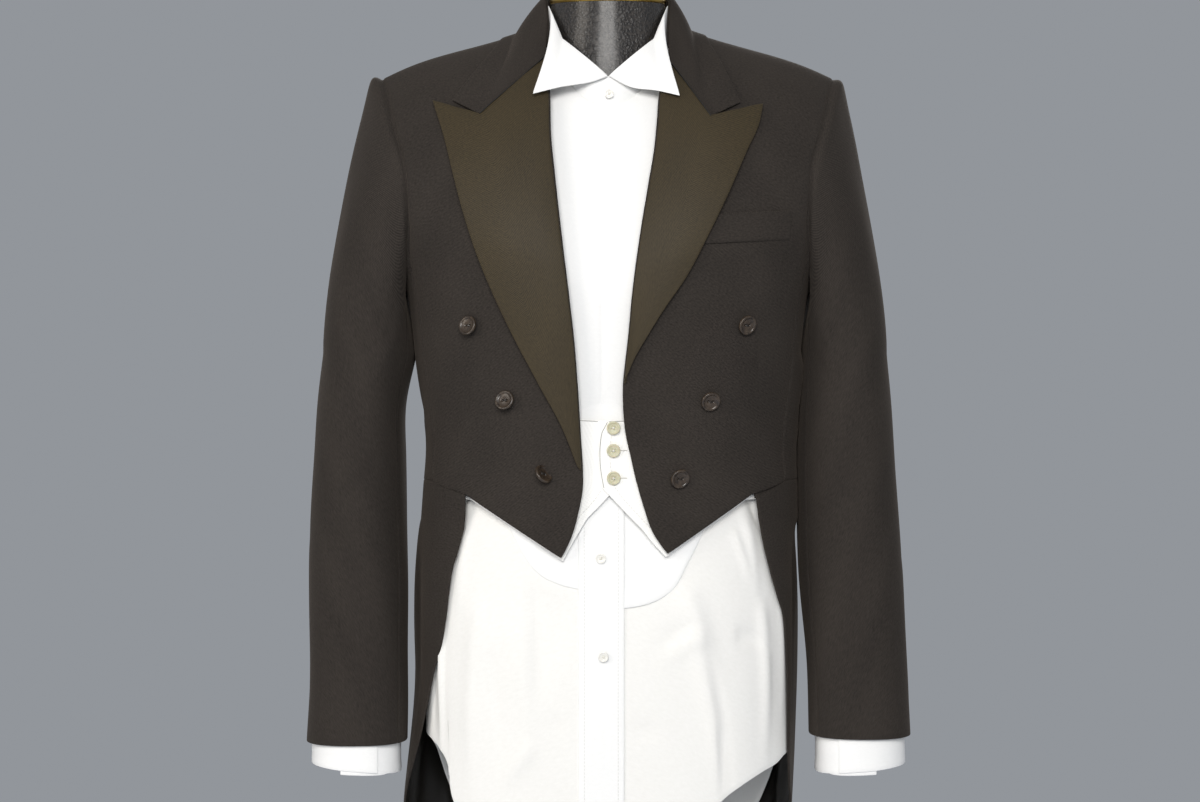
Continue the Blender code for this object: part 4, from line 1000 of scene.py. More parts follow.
# distance from the middle, height: outer edge of the lapel from its peak down
LAPEL_EDGE = {
    1: ((0.1434, 1.3654), (0.1386, 1.3448), (0.1263, 1.3176), (0.1076, 1.2749), (0.0876, 1.2335),
        (0.0682, 1.1965), (0.0490, 1.1680), (0.0345, 1.1440), (0.0225, 1.1225), (0.0155, 1.1050)),
    -1: ((0.1634, 1.3695), (0.1510, 1.3320), (0.1391, 1.2880), (0.1312, 1.2598), (0.1175, 1.2190),
         (0.1035, 1.1840), (0.0850, 1.1440), (0.0611, 1.0977), (0.0418, 1.0609), (0.0275, 1.0240)),
}
COLLAR_TIP = {1: (0.1225, 1.3670), -1: (0.1450, 1.3700)}
# step, turn from the front in degrees, radius from the neck's axis, height: fold line of the collar
COLLAR_FOLD = ((0.0, 180.0, 0.0735, 1.4860), (1.0, 150.0, 0.0695, 1.4855),
               (2.0, 120.0, 0.0645, 1.4835),
               (3.0, 90.0, 0.0618, 1.4780), (4.0, 70.0, 0.0632, 1.4520),
               (5.0, 54.0, 0.0722, 1.4138))
# step round the neck, x, y: outer edge of the leaf, from the back round to the front
LEAF_EDGE = {
    1: ((0.0, 0.0, 0.0835), (1.0, 0.0450, 0.0700), (2.0, 0.0800, 0.0400), (3.0, 0.0930, 0.0120),
        (4.0, 0.0990, -0.0150), (5.0, 0.1080, -0.0360)),
    -1: ((0.0, 0.0, 0.0835), (1.0, 0.0450, 0.0700), (2.0, 0.0820, 0.0400), (3.0, 0.1000, 0.0120),
         (4.0, 0.1100, -0.0150), (5.0, 0.1240, -0.0360)),
}
# step, x, y: neck seam of the coat, from the back round to the front
NECK_SEAM = ((0.0, 0.0, 0.0755), (1.0, 0.0400, 0.0590), (2.0, 0.0670, 0.0340),
             (3.0, 0.0785, 0.0110), (4.0, 0.0760, -0.0080), (5.0, 0.0665, -0.0260))
NECK_Y = 0.004


def on_coat(rows, out, count=40):
    """Points on the coat's front from (distance from the middle, height) rows."""
    line = smooth_line(rows, count)
    return COAT.point(COAT.angle(line[:, 0], line[:, 1]), line[:, 1], out)


GORGE_GAP = 1.3 * MM


def lapels(settings):
    """The peak lapels, faced with satin."""
    cut = Cut(COAT, LAPEL_OUT + settings.satin_thick, settings.satin_thick,
              [finish_of(satin)], "black_satin", "draped", ["forepart_left", "forepart_right"])
    for side, name in NAMES.items():
        roll = front(COAT, ROLL[side], 100)
        edge = front(COAT, LAPEL_EDGE[side], 100)
        gorge = front(COAT, (ROLL[side][0], NOTCH[side]), 24)
        peak = front(COAT, (NOTCH[side], LAPEL_EDGE[side][0]), 24)
        top = joined(roll[:1], gorge[1:], peak)
        top[1:, 1] -= GORGE_GAP * np.clip(np.linspace(4.0, 0.0, len(top) - 1), 0.0, 1.0)
        top[-1] = edge[0]
        low = np.stack([roll[-1], edge[-1]])
        places = cut_places(top, low, roll, edge, marks(34, 0.09))
        cut.panel("satin_lapel_" + name, "lapel_" + name, places, marks(96, 0.33), side, "", (),
                  0.5 * MM, 0.11, 50 + side, rolled)


def rolled(places):
    """A lapel turns under along its roll line, swells beyond it and lies down at its outer edge."""
    far = np.abs(places[..., 0] - places[:, :1, 0]) * ARC
    width = np.maximum(far[:, -1:], 1e-4)
    bend = np.clip(1.0 - far / np.minimum(14.0 * MM, width * 0.6), 0.0, 1.0) ** 2
    broad = np.clip(width / 0.06, 0.0, 1.0)
    swell = np.sin(math.pi * np.clip(far / width, 0.0, 1.0)) * broad
    z = places[..., 1]
    stands = np.clip((1.335 - z) / 0.06, 0.0, 1.0) * np.clip((far / width - 0.35) / 0.65, 0.0, 1.0)
    return 2.2 * MM * swell - 1.9 * MM * bend + 2.6 * MM * stands * broad


def collar_line(rows, shares, lift=None):
    """A line round the neck from a table, as plan points with their own heights or the coat's."""
    table = np.array(rows)
    found = through(table[:, 0], table[:, 1:], shares * table[-1, 0])
    if found.shape[1] == 3:
        turn = np.radians(found[:, 0])
        return np.stack([found[:, 1] * np.sin(turn), NECK_Y - found[:, 1] * np.cos(turn),
                         found[:, 2]], -1)
    x, y = found[:, 0], found[:, 1]
    return np.stack([x, y, COAT.height(x, y, lift)], -1)


def leaf_half(side, out):
    shares = np.linspace(0.0, 1.0, 40)
    fold = collar_line(COLLAR_FOLD, shares)
    start = on_coat((ROLL[side][0], ROLL[side][0]), out, 1)[0]
    drop = np.clip((shares - 0.8) / 0.2, 0.0, 1.0) ** 2
    fold += (start - fold[-1]) * drop[:, None]
    low = out - 1.5 * MM
    edge = collar_line(LEAF_EDGE[side], shares,
                       low + 1.5 * MM * np.clip((shares - 0.8) / 0.2, 0.0, 1.0))
    tip = on_coat((COLLAR_TIP[side], COLLAR_TIP[side]), out, 1)
    shoulder = edge[-1]
    away = (tip[0] - shoulder)[None] * np.linspace(0.0, 1.0, 16)[1:, None]
    edge = np.concatenate([edge, shoulder + away])
    gorge = joined(on_coat((ROLL[side][0], NOTCH[side]), out, 24),
                   on_coat((NOTCH[side], COLLAR_TIP[side]), out, 12))
    middle = np.stack([fold[0], edge[0]])
    down = np.linspace(0.0, 1.0, 56)
    across = np.linspace(0.0, 1.0, 22)
    rows = patch(middle, gorge, fold, edge, down, across)
    u = across[None, :]
    turn = np.sin(math.pi * u)
    puff = np.stack([rows[..., 0], rows[..., 1] - NECK_Y,
                     np.full(u.shape, 0.05) + 0 * rows[..., 0]], -1)
    puff /= np.linalg.norm(puff, axis=-1, keepdims=True)
    depth = 5.0 * MM * turn * (1.0 - 0.75 * down[:, None] ** 2)
    rows = rows + puff * depth[..., None]
    above = low + 1.5 * MM * np.clip((down[:, None] - 0.65) / 0.3, 0.0, 1.0) + 0 * u
    floor = COAT.height(rows[..., 0], rows[..., 1], above)
    high = rows[..., 2] > 1.33
    rows[..., 2] = np.where(high, np.maximum(rows[..., 2], floor), rows[..., 2])
    flat = on_coat_depth(rows, above)
    rows[..., 1] = np.where(rows[..., 1] < -0.02, np.minimum(rows[..., 1], flat), rows[..., 1])
    return rows


def on_coat_depth(points, out):
    """Depth of the coat's front where each point is seen from the front."""
    x = np.abs(points[..., 0])
    z = points[..., 2]
    return COAT.point(COAT.angle(x, z), z, out)[..., 1]


def mirror(grid):
    """The same grid on the wearer's other side."""
    return grid * np.array([-1.0, 1.0, 1.0])


def collar(settings):
    """The collar's leaf and its stand."""
    out = LEAF_OUT
    wool = [finish_of(barathea)]
    left = leaf_half(1, out)
    right = mirror(leaf_half(-1, out))
    face = np.concatenate([right[::-1][:-1], left])
    n = pointing(face, (0.0, NECK_Y))
    piece = shell("wool_collar_leaf", face, n, settings.wool_thick * 0.8, wool)
    sew(piece, ["collar_leaf"])

    shares = np.linspace(0.0, 0.94, 48)
    seam = collar_line(NECK_SEAM, shares, 0.3 * MM)
    fold = collar_line(COLLAR_FOLD, shares)
    turned_in = np.stack([fold[:, 0], fold[:, 1] - NECK_Y, 0 * fold[:, 0]], -1)
    turned_in /= np.linalg.norm(turned_in, axis=-1, keepdims=True)
    fold = fold - turned_in * 2.0 * MM - np.array([0.0, 0.0, 3.0 * MM])
    u = np.linspace(0.0, 1.0, 9)[None, :, None]
    half = fold[:, None] * (1 - u) + seam[:, None] * u
    face = np.concatenate([mirror(half)[::-1][:-1], half])
    n = pointing(face, (0.0, NECK_Y))
    piece = shell("wool_collar_stand", face, n, 1.0 * MM, wool)
    sew(piece, ["collar_stand"])


def breast_pocket(settings):
    """The welt of the breast pocket."""
    cut = Cut(COAT, WELT_OUT, settings.wool_thick, [finish_of(barathea)], "black_wool", "laid",
              ["forepart_left"], 1.2 * MM)
    high = front(COAT, ((0.0930, 1.2560), (0.1688, 1.2612)), 30)
    low = front(COAT, ((0.0800, 1.2285), (0.1665, 1.2342)), 30)
    ends = [np.stack([high[k], low[k]]) for k in (0, -1)]
    places = cut_places(high, low, ends[0], ends[1], marks(40, 0.065, True, True))
    cut.panel("wool_breast_welt", "breast_welt", places, marks(16, 0.028, False, True), 1, "b", (),
              0.15 * MM, 0.05, 61)


# ---------------------------------------------------------------- sleeves

# height, inner face, outer face, middle depth, half depth: rings of the coat's sleeves
SLEEVE_RINGS = {
    1: ((0.756, 0.1925, 0.2885, -0.030, 0.045), (0.830, 0.1912, 0.2855, -0.020, 0.050),
        (0.930, 0.1838, 0.2828, -0.008, 0.057), (1.030, 0.1826, 0.2768, -0.002, 0.063),
        (1.085, 0.1838, 0.2728, -0.001, 0.065), (1.130, 0.1866, 0.2690, 0.000, 0.066)),
    -1: ((0.756, 0.1925, 0.2880, -0.030, 0.045), (0.830, 0.1930, 0.2858, -0.020, 0.050),
         (0.930, 0.1942, 0.2880, -0.008, 0.057), (1.030, 0.1960, 0.2833, -0.002, 0.063),
         (1.085, 0.1955, 0.2797, -0.001, 0.065), (1.130, 0.1866, 0.2752, 0.000, 0.066)),
}
TURNS = 72
CAP_ROWS = 32
SLEEVE_ARC = 0.047
SLEEVE_LEAVE = {1: (0.046, 0.0, -0.120), -1: (0.062, 0.0, -0.105)}
SLEEVE_HEAD = {1: 8.0 * MM, -1: 9.0 * MM}


def sleeve_ring(side, z, turn, shrink):
    """Places round the sleeve: turn 0 outside, a quarter in front, half against the body."""
    table = np.array(SLEEVE_RINGS[side])
    rows = through(table[:, 0], table[:, 1:], np.asarray(z, float))
    inner, outer, middle, depth = np.moveaxis(rows, -1, 0)
    c, s = np.cos(turn), np.sin(turn)
    wide = (outer - inner) / 2 - shrink
    deep = depth - shrink
    return np.stack([(inner + outer) / 2 + np.sign(c) * wide * np.abs(c) ** 0.85,
                     middle - np.sign(s) * deep * np.abs(s) ** 0.85, z + 0 * turn], -1)


def armhole(count):
    """Places round the left armhole: the shoulder, the front, the underarm and the back."""
    low = np.array([[math.pi / 2, ARMHOLE_Z]])
    ahead = joined(front(COAT, ARMHOLE_FRONT, 60), around(((68.0, 1.213), (78.0, 1.197), (
        90.0, ARMHOLE_Z)), 20)[1:], low)
    behind = joined(rear(COAT, ARMHOLE_BACK, 60), np.array([[math.radians(104), 1.198]]), low)
    half = count // 2
    down = spread(ahead, np.linspace(0, 1, half + 1), METRIC)
    up = spread(behind, np.linspace(0, 1, count - half + 1), METRIC)
    return np.concatenate([down, up[-2:0:-1]])


def tuck_ring(ring):
    """The sleeve head's turned-in edge, inside the coat just beyond the armhole."""
    middle = np.array([math.radians(88.0), 1.285])
    return middle + (ring - middle) * (1.075, 1.055)


def sleeve_tube(side, starts, shrink, low_leave, high_leave, low_z, rows, head=0.0):
    """Columns from the armhole over the sleeve head and down to a height."""
    turn = 2 * math.pi * np.arange(len(starts)) / len(starts)
    over = ((1 + np.cos(turn)) / 2)[:, None]
    leave = np.array(low_leave) * (1 - over) + np.array(high_leave) * over
    top = sleeve_ring(side, SLEEVE_TOP_Z + 0 * turn, turn, shrink)
    land = np.zeros_like(top)
    land[:, 2] = -np.minimum(0.25, np.linalg.norm(starts - top, axis=1) * 0.9)
    t = ((np.arange(CAP_ROWS) / CAP_ROWS) ** 1.5)[:, None, None]
    cap = (starts * (2 * t ** 3 - 3 * t ** 2 + 1) + leave * (t ** 3 - 2 * t ** 2 + t)
           + top * (3 * t ** 2 - 2 * t ** 3) + land * (t ** 3 - t ** 2))
    far = np.linalg.norm(cap - starts, axis=-1)
    rope = head * (1.0 - np.exp(-far / (3.0 * MM))) * np.exp(-far / (60.0 * MM)) * over[:, 0] ** 2
    cap = cap + rope[..., None] * np.array([1.0, 0.0, 0.5 if side > 0 else 0.95])
    z = np.linspace(SLEEVE_TOP_Z, low_z, rows)[:, None] + 0 * turn[None]
    return np.concatenate([cap, sleeve_ring(side, z, turn[None] + 0 * z, shrink)])


def sleeve_rows(*rows):
    """The same for a sleeve, with its turns in degrees."""
    return drape(*rows, arc=SLEEVE_ARC)


SLEEVE_FOLDS = {
    1: sleeve_rows((100, 1.03, 60, 0.985, 9, 2.2, 3), (96, 1.00, 50, 0.965, 7, -1.8, 2),
                   (110, 0.96, 66, 0.935, 9, 1.7, -3), (240, 1.05, 285, 1.00, 10, 2.2, 3),
                   (236, 1.01, 280, 0.975, 7, -1.8, 2), (150, 1.21, 95, 1.10, 11, 2.0, 5),
                   (30, 1.30, 24, 1.12, 18, 1.3, 4), (340, 1.26, 332, 1.08, 16, 1.2, -4),
                   (20, 0.93, 12, 0.80, 17, 1.2, 4), (75, 0.90, 70, 0.78, 14, -1.0, 3)),
    -1: sleeve_rows((102, 1.04, 58, 0.99, 9, 2.0, 3), (98, 1.01, 52, 0.972, 7, -1.7, 2),
                    (112, 0.955, 70, 0.925, 9, 1.8, -3), (238, 1.06, 284, 1.01, 10, 2.1, 3),
                    (234, 1.02, 278, 0.98, 7, -1.7, 2), (146, 1.20, 90, 1.09, 11, 2.1, 5),
                    (34, 1.31, 27, 1.13, 17, 1.4, 4), (338, 1.25, 330, 1.07, 16, 1.2, -4),
                    (24, 0.95, 16, 0.81, 18, 1.1, 4), (80, 0.91, 74, 0.79, 13, -1.1, 3)),
}


def coat_sleeves(settings):
    """The top and under sleeves."""
    ring = armhole(TURNS)
    base = COAT.point(ring[:, 0], ring[:, 1])
    starts = base + np.array([0.8 * MM, 0.0, -0.3 * MM])
    hidden = tuck_ring(ring)
    inside = COAT.point(hidden[:, 0], hidden[:, 1], -settings.wool_thick - 0.6 * MM)[None]
    turn = 2 * math.pi * np.arange(TURNS) / TURNS
    seam_front, seam_elbow = 30, 48
    spans = {"top": np.arange(seam_elbow, seam_front + TURNS + 1) % TURNS,
             "under": np.arange(seam_front, seam_elbow + 1)}
    for side, name in NAMES.items():
        tube = sleeve_tube(side, starts, 0.0, (0.004, 0.0, -0.040), SLEEVE_LEAVE[side],
                           SLEEVE_HEM_Z[side], 64, SLEEVE_HEAD[side])
        n = pointing(tube, (0.24, -0.01), loop=True)
        push = creased(turn[None] * SLEEVE_ARC, tube[..., 2], SLEEVE_FOLDS[side])
        push = push + 1.1 * MM * ripple(tube, 0.13, 70 + side)
        from_seam = np.linalg.norm(tube - tube[:1], axis=-1)
        hold = np.clip((from_seam - 8.0 * MM) / (30.0 * MM), 0.0, 1.0)
        top = ((1 + np.cos(turn)) / 2)[None] ** 3
        groove = (3.0 * MM * np.clip(1.0 - from_seam / (9.0 * MM), 0.0, 1.0) ** 2
                  * (1.0 - 0.75 * top))
        whole = tube + n * (push * hold - groove)[..., None]
        whole = np.concatenate([inside * (1 - t) + whole[:1] * t for t in (0.0, 0.5, 0.85)]
                               + [whole])
        for part, columns in spans.items():
            face = whole[:, columns].copy()
            for edge, near in ((0, 1), (-1, -2)):
                way = face[:, near] - face[:, edge]
                face[:, edge] += way / np.linalg.norm(way, axis=-1, keepdims=True) * HALF_SEAM
            fine = marks(face.shape[1], 0.2, True, True)
            face = np.stack([spread(row, fine) for row in face])
            if side < 0:
                face = mirror(face)
            way = pointing(face, (side * 0.24, -0.01))
            face = face - way * sunk(face, "io", settings.seam_depth)[..., None]
            way = pointing(face, (side * 0.24, -0.01))
            piece = shell(f"wool_{part}_sleeve_{name}", face, way, settings.wool_thick,
                          [finish_of(barathea), finish_of(lining)], seams="tio")
            sew(piece, [f"{part}_sleeve_{name}"])


# ---------------------------------------------------------------- shirt

PLACKET_X = -0.0065
PLACKET_HALF = 0.0205
SETTLE_Z = 0.915
SETTLE_RUN = 0.02
PLACKET_TOP_Z = 1.366
BAND_RADIUS = 0.0586
BAND_DEPTH = 0.0655
# degrees round, height, degrees round, height, width, rise and bend in mm
SHIRT_FOLDS = {
    1: drape((47, 1.000, 54, 0.955, 6, -3.1, 3), (43, 0.985, 46, 0.900, 8, 2.4, 3),
             (20, 0.880, 8, 0.852, 5, -2.9, -3), (22, 0.868, 9, 0.838, 5, 2.4, -3),
             (16, 0.915, 31, 0.715, 11, 5, 3), (22, 0.860, 34, 0.700, 7, -3.1, 4),
             (28, 0.780, 30, 0.712, 3.5, -2.6, 1), (3, 0.779, 10, 0.775, 4.5, -2.2, 1),
             (35, 0.867, 55, 0.853, 7, -2.9, 2), (36, 0.965, 43, 0.915, 5, 2.4, 2),
             (49, 0.900, 52, 0.740, 9.5, 3.1, 3), (62, 0.930, 66, 0.770, 8.5, 1.7, 3)),
    -1: drape((-15, 0.915, -14, 0.800, 7, -3.0, 2), (-50, 0.998, -56, 0.950, 6, -3.1, -3),
              (-44, 0.980, -47, 0.890, 8, 2.4, -3),
              (-58, 0.915, -60, 0.745, 5, 4.1, 2), (-63, 0.920, -66, 0.760, 6, -2.9, -3),
              (-9.5, 0.905, -9, 0.835, 8, -2.4, 2), (-7, 0.784, -11, 0.780, 4.5, -2.2, -1),
              (-15, 0.765, -26, 0.722, 6, 2.9, -3), (-20, 0.880, -18, 0.720, 10, 2.4, 3),
              (-30, 0.850, -27, 0.730, 6.5, -1.9, 2), (-36, 0.900, -40, 0.700, 13, 2.9, -4)),
}
SHIRT_BACK_FOLDS = {
    1: drape((120, 0.96, 124, 0.70, 14, 2.6, 4), (150, 0.95, 148, 0.66, 16, 2.8, -4),
             (136, 0.94, 138, 0.70, 10, -2.0, 3), (104, 0.93, 106, 0.74, 10, -1.8, 2)),
    -1: drape((-122, 0.96, -126, 0.69, 14, 2.5, -4), (-151, 0.94, -149, 0.65, 15, 2.7, 4),
              (-137, 0.93, -139, 0.70, 10, -1.9, -3), (-105, 0.92, -107, 0.73, 10, -1.7, -2)),
}
# distance from the middle, height: hem from the middle to the side
SHIRT_HEM = {
    1: ((0.010, 0.660), (0.050, 0.668), (0.085, 0.692), (0.108, 0.714), (0.126, 0.7265),
        (0.146, 0.7375), (0.1600, 0.7440), (0.1660, 0.7490)),
    -1: ((0.010, 0.660), (0.050, 0.666), (0.100, 0.678), (0.130, 0.690), (0.1440, 0.7060),
         (0.1490, 0.7240), (0.1500, 0.7400), (0.1580, 0.7560), (0.1680, 0.7650)),
}
SIDE_HEM_Z = {1: 0.755, -1: 0.770}
# distance from the middle, height: lower edge of the stiff front, from its side to the placket
BOSOM_EDGE = {
    1: ((0.049, 1.4020), (0.063, 1.365), (0.075, 1.320), (0.091, 1.250), (0.095, 1.130),
        (0.094, 1.010),
        (0.0835, 0.9556), (0.0728, 0.9348), (0.0596, 0.9107), (0.0436, 0.8999), (0.0160, 0.8925)),
    -1: ((0.063, 1.4020), (0.077, 1.365), (0.089, 1.320), (0.105, 1.250), (0.109, 1.130),
         (0.106, 1.010),
         (0.0884, 0.9616), (0.0735, 0.9348), (0.0627, 0.9237), (0.0467, 0.9158), (0.0200, 0.9090)),
}


def band_place(turn, out=0.0):
    """Plan points round the neck, turn 0 in front."""
    return (BAND_RADIUS + out) * np.sin(turn), NECK_Y - (BAND_DEPTH + out) * np.cos(turn)


def neck_edge(start, end, count, drop=0.0):
    """The shirt's neck edge under the band, as places, between two turns in degrees."""
    turn = np.radians(np.linspace(start, end, count))
    x, y = band_place(turn)
    z = SHIRT.height(np.abs(x), y)
    phi = SHIRT.angle(x, z)
    return np.stack([np.where(y < SHOULDER_Y, phi, math.pi - phi), z - drop], -1)


def shirt_ring(count):
    """The shirt's own armhole, inside the coat's and higher under the arm."""
    ring = armhole(count)
    middle_phi = ring[:, 0].mean()
    middle_z = 1.285
    tall = np.where(ring[:, 1] < middle_z, 0.78, 0.90)
    ring = np.stack([middle_phi + (ring[:, 0] - middle_phi) * 0.82,
                     middle_z + (ring[:, 1] - middle_z) * tall], -1)
    tip = SHIRT.point(ring[0, 0], ring[0, 1])[0]
    ring[0, 1] = SHIRT.ridge(tip)
    return ring


def shirt_cut(settings, out=0.0, maker=None, rests_on=("form_torso",)):
    return Cut(SHIRT, out, settings.cotton_thick, [finish_of(maker or poplin)], "white_shirting",
               "draped", list(rests_on), 0.5 * MM)


def shirt_body(settings):
    """The fronts and backs of the shirt."""
    cut = shirt_cut(settings)
    ring = shirt_ring(TURNS)
    half = TURNS // 2
    gap = HALF_SEAM / ARC
    quarter = math.pi / 2
    for side, name in NAMES.items():
        start = side * PLACKET_X
        neck = neck_edge(90.0, math.degrees(math.asin(start / BAND_RADIUS)), 40)
        heights = np.linspace(neck[-1, 1], 0.662, 60)
        centre = np.stack([SHIRT.angle(np.full(60, start + 0.15 * MM), heights), heights], -1)
        crown = crest(SHIRT, BAND_RADIUS, abs(SHIRT.point(*ring[0])[0]))
        inner = joined(neck, centre)
        inner[0] = crown[0]
        seam = np.array([ring[half], (quarter, 1.10), (quarter, SIDE_HEM_Z[side])]) - (gap, 0.0)
        outer = joined(ring[:half], seam)
        outer[0] = crown[-1]
        hem = joined(inner[-1:], front(SHIRT, SHIRT_HEM[side], 60), seam[-1:])
        places = cut_places(crown, hem, inner, outer, marks(64, 0.25, False, True))
        cut.panel("shirt_front_panel_" + name, "shirt_front_" + name, places,
                  marks(110, 0.75, True),
                  side, "to", SHIRT_FOLDS[side], 0.7 * MM, 0.09, 80 + side,
                  hem=("b", 0.35 * MM, 6.0 * MM))

        neck = neck_edge(90.0, 180.0, 40)
        neck[-1, 0] = math.pi - gap
        heights = np.linspace(neck[-1, 1], 0.630, 60)
        centre = np.stack([np.full(60, math.pi - gap), heights], -1)
        crown = crest(SHIRT, BAND_RADIUS, abs(SHIRT.point(*ring[0])[0]), behind=True)
        inner = joined(neck, centre)
        inner[0] = crown[0]
        seam = np.array([ring[half], (quarter, 1.10), (quarter, SIDE_HEM_Z[side])]) + (gap, 0.0)
        behind = np.concatenate([ring[:1] * (-1, 1) + (math.pi, 0), ring[:half:-1]])
        outer = joined(behind, seam)
        outer[0] = crown[-1]
        hem = joined(inner[-1:], around(((160.0, 0.634), (140.0, 0.650), (127.0, 0.674),
                                         (117.0, 0.708),
                                         (108.0, 0.740), (98.0, 0.757)), 40), seam[-1:])
        places = cut_places(crown, hem, inner, outer, marks(40, 0.25, True, True))
        cut.panel("shirt_back_panel_" + name, "shirt_back_" + name, places, marks(80, 0.8, True),
                  side,
                  "tio", SHIRT_BACK_FOLDS[side], 0.7 * MM, 0.10, 90 + side,
                  hem=("b", 0.35 * MM, 6.0 * MM))


def shirt_front(settings):
    """The starched front in two halves, and the placket."""
    cut = shirt_cut(settings, BOSOM_OUT, starched, ("shirt_front_left", "shirt_front_right"))
    for side, name in NAMES.items():
        start = side * PLACKET_X + 0.15 * MM
        top = neck_edge(math.degrees(math.asin(start / BAND_RADIUS)), 50.0, 30, 0.2 * MM)
        heights = np.linspace(top[0, 1], BOSOM_EDGE[side][-1][1], 60)
        inner = np.stack([SHIRT.angle(np.full(60, start), heights), heights], -1)
        edge = front(SHIRT, BOSOM_EDGE[side], 120)
        edge[0] = top[-1]
        split = 72
        low = edge[split:][::-1]
        low[0] = inner[-1]
        places = cut_places(top, low, inner, edge[:split + 1], marks(34, 0.1))
        cut.panel("starched_front_" + name, "bosom_" + name, places, marks(80, 0.5), side, "", (),
                  0.35 * MM, 0.10, 100 + side)

    cut = shirt_cut(settings, PLACKET_OUT, starched, ("bosom_left", "bosom_right"))
    z = np.linspace(PLACKET_TOP_Z, 0.664, 110)[:, None]
    x = PLACKET_X + (np.linspace(0.0, 1.0, 14)[None, :] * 2 - 1) * PLACKET_HALF
    places = np.stack([SHIRT.angle(x + 0 * z, z + 0 * x), z + 0 * x], -1)
    cut.panel("starched_placket", "placket", places, marks(120, 0.7), 1, "", (), 0.3 * MM, 0.08,
              104, lift=settled)


def at_skirt(z):
    """Share by which the placket has settled onto the shirt, from the waist down."""
    return np.clip((SETTLE_Z - z) / SETTLE_RUN, 0.0, 1.0)


def settled(places):
    """The placket lies closer to the shirt at the skirt, and flush above the waistcoat."""
    z = places[..., 1]
    flush = np.clip((z - 1.070) / 0.012, 0.0, 1.0)
    share = np.linspace(-1.0, 1.0, z.shape[1])[None, :]
    edge = np.clip((np.abs(share) - 0.6) / 0.3, 0.0, 1.0)
    return (-BOSOM_OUT * at_skirt(z)
            - flush * (PLACKET_OUT - BOSOM_OUT - 0.1 * MM + 0.8 * MM * edge))


def shirt_sleeves(settings):
    """The sleeves of the shirt, and their cuffs."""
    poplins = [finish_of(poplin)]
    stiff = [finish_of(starched)]
    count = 36
    ring = shirt_ring(count)
    starts = SHIRT.point(ring[:, 0], ring[:, 1]) + np.array([1.2 * MM, 0.0, 0.0])
    lap_start, lap_end = math.radians(78.0), math.radians(360.0 + 118.0)
    for side, name in NAMES.items():
        face = sleeve_tube(side, starts, 7.0 * MM, (0.085, 0.0, 0.004), (0.070, 0.0, -0.050), 0.790,
                           40)
        if side < 0:
            face = mirror(face)
        n = pointing(face, (side * 0.24, -0.01), loop=True)
        face = face + n * (0.8 * MM * ripple(face, 0.07, 110 + side))[..., None]
        piece = shell("shirt_sleeve_tube_" + name, face, n, settings.cotton_thick, poplins,
                      loop=True)
        sew(piece, ["shirt_sleeve_" + name])

        turn = np.linspace(lap_start, lap_end, 84)[None, :]
        share = (turn - lap_start) / (lap_end - lap_start)
        low = (CUFF_HEM_Z + 4.5 * MM * np.cos(turn)
               - 4.0 * MM * np.clip(1 - share / 0.14, 0, 1) ** 0.5)
        v = marks(16, 0.066)[:, None]
        z = 0.799 + (low - 0.799) * v
        shrink = 5.6 * MM - 1.6 * MM * np.clip(share * 3.2 - 2.2, 0.0, 1.0)
        face = sleeve_ring(side, z, turn + 0 * z, shrink + 0 * z)
        if side < 0:
            face = mirror(face)
        n = pointing(face, (side * 0.24, -0.03))
        face = face + n * (0.5 * MM * ripple(face, 0.05, 120 + side))[..., None]
        face = face + n * hemmed(face, "b", 0.25 * MM, 5.0 * MM)[..., None]
        piece = shell("starched_cuff_" + name, face, n, settings.cuff_thick, stiff)
        sew(piece, ["cuff_" + name])


# heights of the collar band's upper edge, level behind and at the bottom of its V in front, and
# the distance from the middle at which the V bends
BAND_FLAT_Z = 1.4680
BAND_V_Z = 1.3905
BAND_BEND_X = 0.0437
WING = {
    # x of the fold's top, x and z of the tip, x and z of the inner corner
    1: (0.0550, 0.0665, 1.3710, 0.0205, 1.3810),
    -1: (0.0560, 0.0703, 1.3728, 0.0144, 1.3860),
}
WING_HOLLOW = {1: 4.5 * MM, -1: 5.0 * MM}
WING_TIP_Y = -0.0790
WING_CLEAR = 2.0 * MM


def band_top(x, y):
    """Height of the band's upper edge: a V in front, nearly level behind."""
    share = np.minimum(np.abs(x) / BAND_BEND_X, 1.0)
    rest = np.maximum(np.abs(x) - BAND_BEND_X, 0.0) / (BAND_RADIUS - BAND_BEND_X)
    front_z = BAND_V_Z + 0.0387 * share + 0.0388 * np.minimum(rest, 1.0)
    return np.where(y > NECK_Y, BAND_FLAT_Z, np.minimum(front_z, BAND_FLAT_Z))


def collar_band(settings):
    """The band of the shirt's collar."""
    stiff = [finish_of(starched)]
    turn = np.radians(np.concatenate([np.linspace(-10.0, 90.0, 70), np.linspace(92.0, 268.0, 60),
                                      np.linspace(270.0, 364.0, 66)]))
    out = -1.3 * MM * np.clip((turn - 2 * math.pi + math.radians(16.0)) / math.radians(8.0),
                              0.0, 1.0)
    x, y = band_place(turn, out)
    high = band_top(x, y)
    under = turn < 0
    beyond = turn > 2 * math.pi
    high = np.where(under | beyond, BAND_V_Z - 0.0387 * np.abs(x) / BAND_BEND_X, high)
    low = SHIRT.height(np.abs(x), y) - 2.0 * MM
    v = np.linspace(0.0, 1.0, 12)[:, None]
    face = np.stack([x + 0 * v, y + 0 * v, high + (low - high) * v], -1)
    n = pointing(face, (0.0, NECK_Y))
    piece = shell("starched_collar_band", face, n, settings.cotton_thick, stiff)
    sew(piece, ["collar_band"])


